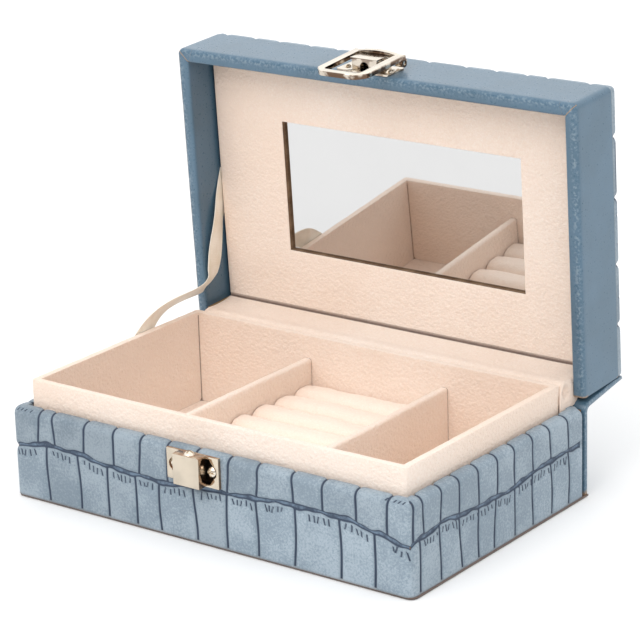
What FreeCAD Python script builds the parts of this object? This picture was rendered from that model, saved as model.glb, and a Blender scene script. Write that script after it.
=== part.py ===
import FreeCAD, Part
import math
import os

# Hinged jewellery box with a lift-up lid, a velour liner, ring rolls, a mirror and a clasp.
# Millimetres, +Z up. Origin: centre of the underside. -Y is the front, +Y the hinge side.
# Every piece is drawn where it lies with the lid open. The lid pieces are drawn with the lid
# closed and are then turned back about the hinge line.

# ---- base box ----
box_width = 200.0
box_depth = 121.0
rim_height = 39.4
base_wrap_thickness = 1.6
base_board_thickness = 3.6
base_edge_radius = 3.5
bottom_cover_thickness = 1.5
bottom_cover_inset = 0.4
floor_board_thickness = 3.0

# ---- spine, the smooth cover across the back of base and lid ----
spine_board_thickness = 1.8
spine_wrap_thickness = 1.2
hinge_leather_drop = 0.4
hinge_leather_reach = 2.5
hinge_end_inset = 0.6

# ---- liner ----
liner_gap = 1.2
liner_back_gap = 2.8
liner_lid_side_gap = 0.8
liner_lid_front_gap = 1.0
liner_rise = 10.6
liner_wall = 3.0
floor_pad_thickness = 2.5
liner_floor_thickness = 2.0
divider_thickness = 3.6
divider_drop = 10.3
left_divider_x = -30.8
right_divider_x = 39.3
roll_count = 7
roll_platform_height = 7.0
roll_height = 14.7
roll_crown = 2.8
roll_clearance = 0.15

# ---- lid ----
lid_front_step = 0.2
lid_height = 26.2
lid_gap = 0.63
lid_back_step = 0.1
lid_outer_wrap = 1.4
lid_inner_wrap = 1.0
lid_board_thickness = 3.2
lid_back_board_thickness = 3.4
lid_back_board_lift = 0.6
lid_top_board_thickness = 3.0
lid_corner_radius = 2.5
lid_rim_radius = 1.6
lid_rim_inner_radius = 0.8
lid_open_angle = 87.0
hinge_axis_out = 0.5
hinge_axis_up = 2.1
pad_edge_thickness = 2.5
pad_crown = 2.9
pad_slope_reach = 22.0
pad_cover_thickness = 1.0
pad_inset = 0.3

# ---- mirror panel in the lid ----
panel_recess = 15.0
panel_thickness = 2.0
panel_end_clearance = 0.1
window_width = 120.8
window_height = 58.2
window_shift_x = 3.1
window_shift_up = 1.5
mirror_lap = 4.0
mirror_thickness = 1.6
spacer_width = 5.0
lining_thickness = 0.8
lining_clearance = 0.25
lining_side_clearance = 1.2
lining_tail = 9.0

# ---- clasp ----
clasp_x = -3.0
catch_width = 26.0
catch_height = 12.8
catch_top_drop = 0.6
catch_plate_thickness = 1.4
housing_width = 13.0
housing_depth = 5.8
housing_wall = 0.9
recess_half_width = 3.9
recess_half_height = 5.4
recess_depth = 1.0
screw_gap = 0.2
screw_head_radius = 2.5
screw_head_height = 1.5
screw_shank_radius = 1.1
screw_length = 5.0
cross_width = 0.8
cross_depth = 0.7
cross_reach = 0.7
top_screw_head_radius = 2.3
top_screw_length = 4.0
hasp_plate_width = 26.0
hasp_plate_thickness = 0.8
hasp_plate_low = 0.8
hasp_plate_beyond_pin = 1.2
hasp_plate_corner = 1.2
bridge_width = 12.4
bridge_low = 3.0
bridge_pin_gap = 1.8
bridge_height = 4.2
bridge_wall = 0.9
bridge_lip = 0.5
bridge_top_thickness = 0.8
bridge_arch_width = 4.4
bridge_arch_height = 3.4
lug_radius = 1.4
hasp_pin_radius = 0.8
hasp_pin_clearance = 0.05
hasp_pin_along = 12.0
hasp_pin_height = 3.2
hasp_pin_inset = 0.3
ring_side_play = 1.2
ring_window_gap = 2.5
ring_catch_gap = 0.35
ring_bar = 3.7
ring_near_bar = 3.2
ring_far_bar = 2.2
ring_thickness = 2.0
ring_near_height = 3.2
ring_tilt = 2.5
ring_chamfer = 4.0
ring_eye_radius = 1.9
ring_arch_rise = 0.9
ring_edge_chamfer = 0.35
rivet_offset = 10.4
rivet_radius = 1.6
rivet_height = 0.9
rivet_shank_radius = 0.9
rivet_length = 3.0
rivet_along = 5.5

# ---- ribbon stay ----
ribbon_width = 7.0
ribbon_thickness = 0.3
ribbon_clearance = 0.3
# (y, z) from the hinge line
ribbon_route = [(9.8, 74.5), (8.5, 58.5), (6.5, 44.5), (4, 33.5), (-1.5, 24), (-9.5, 18.5),
                (-18.5, 15.9), (-28.5, 13.5), (-37, 10), (-42, 4.5), (-43, -1)]

# ---- worked out from the above ----
spine_thickness = spine_board_thickness + spine_wrap_thickness
half_width = box_width / 2
front_y = -(box_depth + spine_thickness) / 2
back_y = -front_y
box_back_y = back_y - spine_thickness
base_wall = base_wrap_thickness + base_board_thickness
base_inner_x = half_width - base_wall
base_inner_front_y = front_y + base_wall
base_board_top = rim_height - base_wrap_thickness
floor_board_top = bottom_cover_thickness + floor_board_thickness
back_board_y = box_back_y - base_board_thickness
liner_back_y = back_board_y - liner_back_gap
liner_top = rim_height + liner_rise
liner_floor_base = floor_board_top + floor_pad_thickness
liner_floor_top = liner_floor_base + liner_floor_thickness
liner_inner_back_y = liner_back_y - liner_wall
divider_top = liner_top - divider_drop
axis_y = back_y + hinge_axis_out
axis_z = rim_height + hinge_axis_up
lid_rim_z = rim_height + lid_gap
lid_back_y = back_y - lid_back_step
lid_front_y = front_y - lid_front_step
lid_depth = lid_back_y - lid_front_y
lid_wall = lid_outer_wrap + lid_board_thickness + lid_inner_wrap
lid_inner_x = half_width - lid_wall
lid_inner_front_y = lid_front_y + lid_wall
liner_x = min(base_inner_x - liner_gap, lid_inner_x - liner_lid_side_gap)
liner_front_y = max(base_inner_front_y + liner_gap, lid_inner_front_y + liner_lid_front_gap)
liner_inner_x = liner_x - liner_wall
liner_inner_front_y = liner_front_y + liner_wall
lid_box_top_z = lid_rim_z + lid_height
lid_top_board_z = lid_box_top_z - lid_top_board_thickness
lid_box_back_y = lid_back_y - spine_thickness
lid_back_inner_y = lid_box_back_y - lid_back_board_thickness
panel_z = lid_rim_z + panel_recess
mirror_z = panel_z + panel_thickness
panel_x = liner_x - ribbon_clearance
panel_front_y = lid_inner_front_y + panel_end_clearance
panel_back_y = lid_back_inner_y - panel_end_clearance
window_x0 = window_shift_x - window_width / 2
window_x1 = window_shift_x + window_width / 2
window_middle_y = (lid_back_y + lid_front_y) / 2 - window_shift_up
window_y0 = window_middle_y - window_height / 2
window_y1 = window_middle_y + window_height / 2
catch_top = rim_height - catch_top_drop
catch_low = catch_top - catch_height
catch_mid_z = (catch_low + catch_top) / 2
catch_face_y = front_y - catch_plate_thickness
catch_seat_y = catch_face_y + recess_depth
housing_front_y = front_y - housing_depth
housing_half = housing_width / 2
screw_offset = housing_half + screw_head_radius + screw_gap
pin_y = lid_front_y - hasp_pin_height
pin_z = lid_rim_z + hasp_pin_along
ring_x = clasp_x + ring_side_play
ring_window_half = housing_half + ring_window_gap
ring_half = ring_window_half + ring_bar
ring_window_reach = pin_z - catch_low + ring_catch_gap
ring_reach = ring_window_reach + ring_near_bar


def block(x0, x1, y0, y1, z0, z1):
    corner = FreeCAD.Vector(x0, y0, z0)
    return Part.makeBox(x1 - x0, y1 - y0, z1 - z0, corner)


def rounded(shape, radius, keep):
    # rounds every edge whose middle point passes the test
    edges = []
    for edge in shape.Edges:
        if keep(edge.CenterOfMass, edge):
            edges.append(edge)
    return shape.makeFillet(radius, edges)


def prism_x(points, x0, x1):
    # a flat outline of (y, z) points, pulled along X
    corners = [FreeCAD.Vector(x0, y, z) for y, z in points]
    face = Part.Face(Part.makePolygon(corners + corners[:1]))
    return face.extrude(FreeCAD.Vector(x1 - x0, 0, 0))


def prism_y(points, y0, y1):
    # a flat outline of (x, z) points, pulled along Y
    corners = [FreeCAD.Vector(x, y0, z) for x, z in points]
    face = Part.Face(Part.makePolygon(corners + corners[:1]))
    return face.extrude(FreeCAD.Vector(0, y1 - y0, 0))


def rod_x(radius, x0, x1, y, z):
    return Part.makeCylinder(radius, x1 - x0, FreeCAD.Vector(x0, y, z), FreeCAD.Vector(1, 0, 0))


def rod_y(radius, y0, y1, x, z):
    return Part.makeCylinder(radius, y1 - y0, FreeCAD.Vector(x, y0, z), FreeCAD.Vector(0, 1, 0))


def opened(shape):
    # turns a piece of the closed lid to the open rest position
    turned = shape.copy()
    turned.rotate(FreeCAD.Vector(0, axis_y, axis_z), FreeCAD.Vector(1, 0, 0), -lid_open_angle)
    return turned


def opened_point(y, z):
    angle = -math.radians(lid_open_angle)
    dy = y - axis_y
    dz = z - axis_z
    turned_y = dy * math.cos(angle) - dz * math.sin(angle)
    turned_z = dy * math.sin(angle) + dz * math.cos(angle)
    return axis_y + turned_y, axis_z + turned_z


def save(name, shape):
    if isinstance(shape, list):
        shape = Part.makeCompound(shape)
    print(name, "solids", len(shape.Solids), "valid", shape.isValid(), "mm3", round(shape.Volume, 1))
    shape.exportStep("parts/" + name + ".step")


def cross_cut(x, z, top, head_radius):
    # the two crossed slots of a screw head that faces -Y
    reach = head_radius * cross_reach
    half = cross_width / 2
    level = block(x - reach, x + reach, top - 1, top + cross_depth, z - half, z + half)
    upright = block(x - half, x + half, top - 1, top + cross_depth, z - reach, z + reach)
    return level.fuse(upright)


def domed_pin(x, z, seat_y, shank_radius, head_radius, head_height, length):
    # a fastener driven along +Y, with a domed head on the seat plane
    sphere_radius = (head_radius ** 2 + head_height ** 2) / (2 * head_height)
    centre = FreeCAD.Vector(x, seat_y - head_height + sphere_radius, z)
    dome = Part.makeSphere(sphere_radius, centre)
    head = dome.common(rod_y(head_radius, seat_y - head_height, seat_y, x, z))
    shank = rod_y(shank_radius, seat_y - head_height / 2, seat_y + length, x, z)
    return head.fuse(shank).removeSplitter()


def catch_screw_places():
    return [clasp_x - screw_offset, clasp_x + screw_offset]


def rivet_places():
    return [clasp_x - rivet_offset, clasp_x + rivet_offset]


def catch_screw_holes():
    holes = []
    for x in catch_screw_places():
        holes.append(rod_y(screw_shank_radius, catch_face_y, catch_seat_y + screw_length, x, catch_mid_z))
    return Part.makeCompound(holes)


def rivet_holes():
    z = lid_rim_z + rivet_along
    start = lid_front_y - hasp_plate_thickness
    holes = []
    for x in rivet_places():
        holes.append(rod_y(rivet_shank_radius, start, start + rivet_length, x, z))
    return Part.makeCompound(holes)


def make_base():
    bottom = block(-half_width + bottom_cover_inset, half_width - bottom_cover_inset,
                   front_y + bottom_cover_inset, back_y, 0, bottom_cover_thickness)
    half = bottom_cover_thickness / 2
    front_corner = lambda p, e: abs(p.x) > half_width - 2 and p.y < 0 and abs(p.z - half) < 0.1
    save("bottom_cover", rounded(bottom, base_edge_radius, front_corner))

    board_x = half_width - base_wrap_thickness
    board_front = front_y + base_wrap_thickness
    low = bottom_cover_thickness
    save("base_floor_board", block(-board_x, board_x, board_front, box_back_y, low, floor_board_top))
    front = block(-board_x, board_x, board_front, base_inner_front_y, floor_board_top, base_board_top)
    save("base_front_board", front.cut(catch_screw_holes()))
    for name, side in (("left", -1), ("right", 1)):
        ends = sorted((side * base_inner_x, side * board_x))
        board = block(ends[0], ends[1], base_inner_front_y, back_board_y, floor_board_top, base_board_top)
        save("base_" + name + "_board", board)
    back = block(-board_x, board_x, back_board_y, box_back_y, floor_board_top, base_board_top)
    save("base_back_board", back)

    outer = block(-half_width, half_width, front_y, box_back_y, low, rim_height)

    def soft_edge(p, e):
        upright = abs(p.x) > half_width - 0.1 and p.y < front_y + 0.1
        rim = p.z > rim_height - 0.1 and p.y < box_back_y - 0.1
        return upright or rim

    wrap = rounded(outer, base_edge_radius, soft_edge)
    wrap = wrap.cut(block(-board_x, board_x, board_front, box_back_y + 1, low - 1, base_board_top))
    inside = block(-base_inner_x, base_inner_x, base_inner_front_y, box_back_y + 1, low, rim_height + 1)
    save("base_wrap", wrap.cut(inside).cut(catch_screw_holes()))

    spine_board_y = box_back_y + spine_board_thickness
    spine_top = rim_height - hinge_leather_drop
    save("spine_lower_board", block(-board_x, board_x, box_back_y, spine_board_y, low, base_board_top))
    save("spine_lower_wrap", block(-half_width, half_width, spine_board_y, back_y, low, spine_top))


def make_liner():
    layers = [("floor_pad", liner_front_y, liner_back_y, floor_board_top, liner_floor_base),
              ("liner_floor", liner_front_y, liner_back_y, liner_floor_base, liner_floor_top),
              ("liner_front_wall", liner_front_y, liner_inner_front_y, liner_floor_top, liner_top),
              ("liner_back_wall", liner_inner_back_y, liner_back_y, liner_floor_top, liner_top)]
    for name, y0, y1, z0, z1 in layers:
        save(name, block(-liner_x, liner_x, y0, y1, z0, z1))
    for name, side in (("left", -1), ("right", 1)):
        ends = sorted((side * liner_inner_x, side * liner_x))
        wall = block(ends[0], ends[1], liner_inner_front_y, liner_inner_back_y, liner_floor_top, liner_top)
        save("liner_" + name + "_wall", wall)
    for name, x in (("left", left_divider_x), ("right", right_divider_x)):
        x0 = x - divider_thickness / 2
        x1 = x + divider_thickness / 2
        panel = block(x0, x1, liner_inner_front_y, liner_inner_back_y, liner_floor_top, divider_top)
        save("divider_" + name, panel)


def make_ring_rolls():
    left = left_divider_x + divider_thickness / 2 + roll_clearance
    right = right_divider_x - divider_thickness / 2 - roll_clearance
    platform_top = liner_floor_top + roll_platform_height
    save("ring_roll_support", block(left, right, liner_inner_front_y + roll_clearance,
                                    liner_inner_back_y - roll_clearance, liner_floor_top, platform_top))
    pitch = (liner_inner_back_y - liner_inner_front_y) / roll_count
    half = pitch / 2 - roll_clearance
    crest = platform_top + roll_height
    shoulder = crest - roll_crown
    for number in range(roll_count):
        middle = liner_inner_front_y + (number + 0.5) * pitch
        low_front = FreeCAD.Vector(left, middle - half, platform_top)
        low_back = FreeCAD.Vector(left, middle + half, platform_top)
        high_front = FreeCAD.Vector(left, middle - half, shoulder)
        high_back = FreeCAD.Vector(left, middle + half, shoulder)
        top = FreeCAD.Vector(left, middle, crest)
        outline = [Part.makeLine(low_front, low_back), Part.makeLine(low_back, high_back),
                   Part.Arc(high_back, top, high_front).toShape(), Part.makeLine(high_front, low_front)]
        roll = Part.Face(Part.Wire(outline)).extrude(FreeCAD.Vector(right - left, 0, 0))
        save("ring_roll_" + str(number + 1), roll)


def make_lid_box():
    board_x = half_width - lid_outer_wrap
    board_front = lid_front_y + lid_outer_wrap
    board_inner_x = board_x - lid_board_thickness
    board_inner_front = board_front + lid_board_thickness
    board_low = lid_rim_z + lid_inner_wrap
    front = block(-board_x, board_x, board_front, board_inner_front, board_low, lid_top_board_z)
    save("lid_front_board", opened(front.cut(rivet_holes())))
    for name, side in (("left", -1), ("right", 1)):
        ends = sorted((side * board_inner_x, side * board_x))
        wall = block(ends[0], ends[1], board_inner_front, lid_back_inner_y, board_low, lid_top_board_z)
        save("lid_" + name + "_board", opened(wall))
    back = block(-board_x, board_x, lid_back_inner_y, lid_box_back_y, lid_rim_z + lid_back_board_lift,
                 lid_top_board_z)
    save("lid_back_board", opened(back))
    top = block(-board_x, board_x, board_front, lid_box_back_y, lid_top_board_z, lid_box_top_z)
    save("lid_top_board", opened(top))

    outer = block(-half_width, half_width, lid_front_y, lid_box_back_y, lid_rim_z, lid_box_top_z)
    upright = lambda p, e: abs(p.x) > half_width - 0.1 and p.y < lid_front_y + 0.1
    outer = rounded(outer, lid_corner_radius, upright)
    rim_edge = lambda p, e: p.z < lid_rim_z + 0.1 and p.y < lid_box_back_y - 0.1
    outer = rounded(outer, lid_rim_radius, rim_edge)
    skin = outer.cut(block(-lid_inner_x, lid_inner_x, lid_inner_front_y, lid_box_back_y + 1,
                           lid_rim_z - 1, lid_box_top_z + 1))
    inner_rim = lambda p, e: (p.z < lid_rim_z + 0.1 and p.y > lid_inner_front_y - 0.1
                              and p.y < lid_box_back_y - 0.1 and abs(p.x) < lid_inner_x + 0.1)
    skin = rounded(skin, lid_rim_inner_radius, inner_rim)
    skin = skin.cut(block(-board_x, board_x, board_front, board_inner_front, board_low, lid_box_top_z + 1))
    for side in (-1, 1):
        ends = sorted((side * board_inner_x, side * board_x))
        slot = block(ends[0], ends[1], board_front, lid_box_back_y + 1, board_low, lid_box_top_z + 1)
        skin = skin.cut(slot)
    skin = skin.cut(block(-board_x, board_x, board_front, lid_box_back_y + 1, lid_top_board_z,
                          lid_box_top_z + 1))
    skin = skin.cut(block(-board_x, board_x, lid_back_inner_y, lid_box_back_y + 1,
                          lid_rim_z + lid_back_board_lift, lid_box_top_z + 1))
    save("lid_wrap", opened(skin.cut(rivet_holes())))

    spine_low = lid_rim_z + hinge_leather_reach
    spine_board_y = lid_box_back_y + spine_board_thickness
    save("spine_upper_board", opened(block(-board_x, board_x, lid_box_back_y, spine_board_y, spine_low,
                                           lid_box_top_z)))
    save("spine_upper_wrap", opened(block(-half_width, half_width, spine_board_y, lid_back_y, spine_low,
                                          lid_box_top_z)))


def rectangle(x, y0, y1, z):
    corners = [FreeCAD.Vector(-x, y0, z), FreeCAD.Vector(x, y0, z), FreeCAD.Vector(x, y1, z),
               FreeCAD.Vector(-x, y1, z)]
    return Part.makePolygon(corners + corners[:1])


def crowned(x, y0, y1, z0, edge_z, crown):
    # a pad with upright edges, whose top slopes up from all four of them to a flat crown
    pad = block(-x, x, y0, y1, z0, edge_z)
    r = pad_slope_reach
    low = rectangle(x, y0, y1, edge_z)
    high = rectangle(x - r, y0 + r, y1 - r, edge_z + crown)
    slope = Part.makeLoft([low, high], True, True)
    return pad.fuse(slope).removeSplitter()


def make_lid_pad():
    x = half_width - pad_inset
    y0 = lid_front_y + pad_inset
    y1 = lid_back_y - pad_inset
    edge_z = lid_box_top_z + pad_edge_thickness
    outer = crowned(x, y0, y1, lid_box_top_z, edge_z, pad_crown)
    t = pad_cover_thickness
    foam = crowned(x - t, y0 + t, y1 - t, lid_box_top_z, edge_z - t, pad_crown)
    save("lid_top_foam", opened(foam))
    save("lid_top_cover", opened(outer.cut(foam)))


def make_lid_panel():
    panel = block(-panel_x, panel_x, panel_front_y, panel_back_y, panel_z, mirror_z)
    window = block(window_x0, window_x1, window_y0, window_y1, panel_z - 1, mirror_z + 1)
    save("lid_panel", opened(panel.cut(window)))
    x0 = window_x0 - mirror_lap
    x1 = window_x1 + mirror_lap
    y0 = window_y0 - mirror_lap
    y1 = window_y1 + mirror_lap
    mirror_back = mirror_z + mirror_thickness
    save("mirror", opened(block(x0, x1, y0, y1, mirror_z, mirror_back)))
    save("mirror_backing", opened(block(x0, x1, y0, y1, mirror_back, lid_top_board_z)))
    w = spacer_width
    rails = [block(-panel_x, panel_x, panel_front_y, panel_front_y + w, mirror_z, lid_top_board_z),
             block(-panel_x, panel_x, panel_back_y - w, panel_back_y, mirror_z, lid_top_board_z),
             block(-panel_x, -panel_x + w, panel_front_y + w, panel_back_y - w, mirror_z, lid_top_board_z),
             block(panel_x - w, panel_x, panel_front_y + w, panel_back_y - w, mirror_z, lid_top_board_z)]
    save("lid_spacers", opened(Part.makeCompound(rails)))


def bend(points):
    # a smooth curve that leaves its first point towards the second and ends at the third
    curve = Part.BezierCurve()
    curve.setPoles(points)
    return curve.toShape()


def make_hinge():
    x = half_width - hinge_end_inset
    low = rim_height - hinge_leather_drop
    inner_y = back_y - spine_wrap_thickness
    end_z = lid_rim_z + hinge_leather_reach
    far_inner = opened_point(lid_back_y - spine_wrap_thickness, end_z)
    far_outer = opened_point(lid_back_y, end_z)
    at = lambda y, z: FreeCAD.Vector(-x, y, z)
    inner = bend([at(inner_y, low), at(inner_y, far_inner[1]), at(*far_inner)])
    outer = bend([at(far_outer[0], far_outer[1]), at(back_y, far_outer[1]), at(back_y, low)])
    outline = [inner, Part.makeLine(at(*far_inner), at(*far_outer)), outer,
               Part.makeLine(at(back_y, low), at(inner_y, low))]
    save("hinge_leather", Part.Face(Part.Wire(outline)).extrude(FreeCAD.Vector(2 * x, 0, 0)))

    strip_y = lid_back_inner_y - lining_clearance
    near = opened_point(strip_y, lid_rim_z + lid_back_board_lift)
    far = opened_point(strip_y, panel_z - lining_clearance)
    near_top = opened_point(strip_y - lining_thickness, lid_rim_z + lid_back_board_lift)
    far_top = opened_point(strip_y - lining_thickness, panel_z - lining_clearance)
    tail_y = liner_back_y + lining_clearance
    tail_back_y = tail_y + lining_thickness
    shoulder_z = liner_top - lining_thickness
    outline = [(tail_y, liner_top - lining_tail), (tail_y, liner_top), near_top, far_top, far, near,
               (tail_back_y, shoulder_z), (tail_back_y, liner_top - lining_tail)]
    strip_x = lid_inner_x - lining_side_clearance
    save("hinge_lining", prism_x(outline, -strip_x, strip_x))


def make_ribbon():
    # a flat band that lies in the narrow slot beside the liner and beside the mirror panel
    x0 = -liner_x - ribbon_clearance
    x1 = x0 - ribbon_thickness
    half = ribbon_width / 2
    left_side = []
    right_side = []
    last = len(ribbon_route) - 1
    for n, (out, up) in enumerate(ribbon_route):
        before = ribbon_route[max(n - 1, 0)]
        after = ribbon_route[min(n + 1, last)]
        along_y = after[0] - before[0]
        along_z = after[1] - before[1]
        length = math.hypot(along_y, along_z)
        across_y = -along_z / length * half
        across_z = along_y / length * half
        y = axis_y + out
        z = axis_z + up
        left_side.append((y + across_y, z + across_z))
        right_side.append((y - across_y, z - across_z))
    save("ribbon_stay", prism_x(left_side + right_side[::-1], x1, x0))


def make_catch():
    half = catch_width / 2
    plate = block(clasp_x - half, clasp_x + half, catch_face_y, front_y, catch_low, catch_top)
    w = recess_half_width
    h = recess_half_height
    for side in (-1, 1):
        x = clasp_x + side * housing_half
        octagon = [(x - w, catch_mid_z - h / 2), (x - w / 2, catch_mid_z - h), (x + w / 2, catch_mid_z - h),
                   (x + w, catch_mid_z - h / 2), (x + w, catch_mid_z + h / 2), (x + w / 2, catch_mid_z + h),
                   (x - w / 2, catch_mid_z + h), (x - w, catch_mid_z + h / 2)]
        plate = plate.cut(prism_y(octagon, catch_face_y - 1, catch_seat_y))
    for x in catch_screw_places():
        room = rod_y(screw_head_radius + screw_gap, catch_face_y - 1, catch_seat_y, x, catch_mid_z)
        plate = plate.cut(room)
    save("catch_plate", plate.cut(catch_screw_holes()))

    screws = []
    for x in catch_screw_places():
        screw = domed_pin(x, catch_mid_z, catch_seat_y, screw_shank_radius, screw_head_radius,
                          screw_head_height, screw_length)
        top = catch_seat_y - screw_head_height
        screws.append(screw.cut(cross_cut(x, catch_mid_z, top, screw_head_radius)))
    save("catch_screws", screws)

    # the housing is a folded cap, open underneath, that stands on the plate
    x0 = clasp_x - housing_half
    x1 = clasp_x + housing_half
    wall = housing_wall
    cap = block(x0, x1, housing_front_y, catch_face_y, catch_low, catch_top)
    hollow = block(x0 + wall, x1 - wall, housing_front_y + wall, catch_face_y,
                   catch_low - 1, catch_top - wall)
    screw_y = front_y - housing_depth / 2
    hole = Part.makeCylinder(screw_shank_radius, top_screw_length, FreeCAD.Vector(clasp_x, screw_y,
                             catch_top - top_screw_length))
    save("catch_housing", cap.cut(hollow).cut(hole))

    # its top screw is drawn facing -Y on the origin and is then turned upright
    screw = domed_pin(0, 0, 0, screw_shank_radius, top_screw_head_radius, screw_head_height, top_screw_length)
    screw = screw.cut(cross_cut(0, 0, -screw_head_height, top_screw_head_radius))
    screw.rotate(FreeCAD.Vector(0, 0, 0), FreeCAD.Vector(1, 0, 0), -90)
    screw.translate(FreeCAD.Vector(clasp_x, screw_y, catch_top))
    save("catch_top_screw", screw)


def make_hasp():
    # heights are measured out of the lid's front face, along -Y, and lengths up from the rim, along +Z
    out = lambda height: lid_front_y - height
    half = hasp_plate_width / 2
    low = lid_rim_z + hasp_plate_low
    high = pin_z + hasp_plate_beyond_pin
    plate = block(clasp_x - half, clasp_x + half, out(hasp_plate_thickness), lid_front_y, low, high)
    middle = (low + high) / 2
    corner = lambda p, e: abs(p.x - clasp_x) > half - 0.1 and abs(p.z - middle) > (high - low) / 2 - 0.1
    save("hasp_plate", opened(rounded(plate, hasp_plate_corner, corner).cut(rivet_holes())))

    rivets = []
    for x in rivet_places():
        rivets.append(domed_pin(x, lid_rim_z + rivet_along, out(hasp_plate_thickness), rivet_shank_radius,
                                rivet_radius, rivet_height, rivet_length))
    save("hasp_rivets", opened(Part.makeCompound(rivets)))

    # a raised bridge with a lipped top, an arched mouth towards the rim and two lugs for the pin
    foot = hasp_plate_thickness
    shelf = foot + bridge_height
    x0 = clasp_x - bridge_width / 2
    x1 = clasp_x + bridge_width / 2
    z0 = lid_rim_z + bridge_low
    z1 = pin_z - bridge_pin_gap
    bridge = block(x0, x1, out(shelf), out(foot), z0, z1)
    wall = bridge_wall
    bridge = bridge.cut(block(x0 + wall, x1 - wall, out(shelf - wall), out(foot), z0 + wall, z1 - wall))
    arch_half = bridge_arch_width / 2
    arch_top = foot + bridge_arch_height
    spring = out(arch_top - arch_half)
    arch = block(clasp_x - arch_half, clasp_x + arch_half, spring, out(foot), z0 - 1, z0 + wall)
    round_top = Part.makeCylinder(arch_half, wall + 1, FreeCAD.Vector(clasp_x, spring, z0 - 1))
    above = block(x0, x1, out(shelf), spring, z0 - 2, z1)
    bridge = bridge.cut(arch).cut(round_top.common(above))
    lip = bridge_lip
    roof = out(shelf + bridge_top_thickness)
    bridge = bridge.fuse(block(x0 - lip, x1 + lip, roof, out(shelf), z0 - lip, z1))
    for inner, outer in ((x0, x0 + wall), (x1 - wall, x1)):
        lug = rod_x(lug_radius, inner, outer, pin_y, pin_z)
        web = block(inner, outer, pin_y, out(foot), z1 - wall, pin_z + lug_radius)
        neck = block(inner, outer, pin_y - lug_radius / 2, pin_y + lug_radius / 2, z1 - wall, pin_z)
        bridge = bridge.fuse(lug).fuse(web).fuse(neck)
    pin_x0 = ring_x - ring_half + hasp_pin_inset
    pin_x1 = ring_x + ring_half - hasp_pin_inset
    pin = rod_x(hasp_pin_radius, pin_x0, pin_x1, pin_y, pin_z)
    save("hasp_bridge", opened(bridge.cut(pin).removeSplitter()))
    save("hasp_pin", opened(pin))

    save("hasp_ring", opened(ring_shape()))


def ring_shape():
    # drawn level over the pin, then let down about the pin until its near end has its height
    slope = math.radians(ring_tilt)
    under = hasp_pin_height - ring_near_height - ring_reach * math.sin(slope)
    top = under - ring_thickness
    z0 = pin_z - ring_reach
    z1 = pin_z + ring_far_bar / 2
    x0 = ring_x - ring_half
    x1 = ring_x + ring_half
    y_top = pin_y + top
    y_under = pin_y + under
    cut = ring_chamfer
    outline = [(x0, z0 + cut), (x0 + cut, z0), (x1 - cut, z0), (x1, z0 + cut), (x1, z1), (x0, z1)]
    ring = prism_y(outline, y_top, y_under)
    edges = []
    for edge in ring.Edges:
        if edge.CenterOfMass.y < y_top + 0.01:
            edges.append(edge)
    ring = ring.makeChamfer(ring_edge_chamfer, edges)
    window = block(ring_x - ring_window_half, ring_x + ring_window_half, y_top - 2, y_under + 2,
                   pin_z - ring_window_reach, z1 + 1)
    ring = ring.cut(window)
    # the far bar is an arch between the side bars
    reach = ring_window_half
    at = lambda x, y: FreeCAD.Vector(ring_x + x, y, pin_z - ring_far_bar / 2)
    rise = ring_arch_rise
    upper = Part.Arc(at(-reach, y_top), at(0, y_top - rise), at(reach, y_top)).toShape()
    lower = Part.Arc(at(reach, y_under), at(0, y_under - rise), at(-reach, y_under)).toShape()
    right = Part.makeLine(at(reach, y_top), at(reach, y_under))
    left = Part.makeLine(at(-reach, y_under), at(-reach, y_top))
    face = Part.Face(Part.Wire([upper, right, lower, left]))
    ring = ring.fuse(face.extrude(FreeCAD.Vector(0, 0, ring_far_bar)))
    for inner, outer in ((x0, x0 + ring_bar), (x1 - ring_bar, x1)):
        ring = ring.fuse(rod_x(ring_eye_radius, inner, outer, pin_y, pin_z))
    bore = hasp_pin_radius + hasp_pin_clearance
    ring = ring.cut(rod_x(bore, x0 - 1, x1 + 1, pin_y, pin_z)).removeSplitter()
    ring.rotate(FreeCAD.Vector(0, pin_y, pin_z), FreeCAD.Vector(1, 0, 0), ring_tilt)
    return ring


def main():
    os.makedirs("parts", exist_ok=True)
    make_base()
    make_liner()
    make_ring_rolls()
    make_lid_box()
    make_lid_pad()
    make_lid_panel()
    make_hinge()
    make_ribbon()
    make_catch()
    make_hasp()


main()
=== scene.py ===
import math
import random

import bmesh
import bpy
import numpy as np
from mathutils import Matrix, Vector, noise


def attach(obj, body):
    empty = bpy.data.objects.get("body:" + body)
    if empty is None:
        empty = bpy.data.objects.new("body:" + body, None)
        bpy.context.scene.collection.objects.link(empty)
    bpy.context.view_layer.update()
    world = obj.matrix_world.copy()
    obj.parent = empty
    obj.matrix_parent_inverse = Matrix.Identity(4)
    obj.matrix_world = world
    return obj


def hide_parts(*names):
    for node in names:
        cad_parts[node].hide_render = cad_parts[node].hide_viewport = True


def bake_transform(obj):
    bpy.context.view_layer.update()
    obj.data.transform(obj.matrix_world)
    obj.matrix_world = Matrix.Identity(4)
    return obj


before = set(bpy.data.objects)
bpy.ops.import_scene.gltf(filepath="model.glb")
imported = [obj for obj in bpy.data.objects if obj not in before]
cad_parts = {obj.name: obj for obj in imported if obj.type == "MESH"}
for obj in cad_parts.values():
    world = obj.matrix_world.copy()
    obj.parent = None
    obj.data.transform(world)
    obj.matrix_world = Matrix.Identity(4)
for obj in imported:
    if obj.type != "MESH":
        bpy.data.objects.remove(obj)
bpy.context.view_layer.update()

# Sizes below are in millimetres, +Z up, -Y the front. Lid pieces are drawn with the lid shut and then opened.
mm = 0.001
hingeLine = (0.0, 62.5, 41.5)
lidOpenAngle = 87.0


def deselectAll():
    if bpy.context.mode != "OBJECT":
        bpy.ops.object.mode_set(mode="OBJECT")
    bpy.ops.object.select_all(action="DESELECT")


def takeHold(piece):
    deselectAll()
    piece.select_set(True)
    bpy.context.view_layer.objects.active = piece


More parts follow.
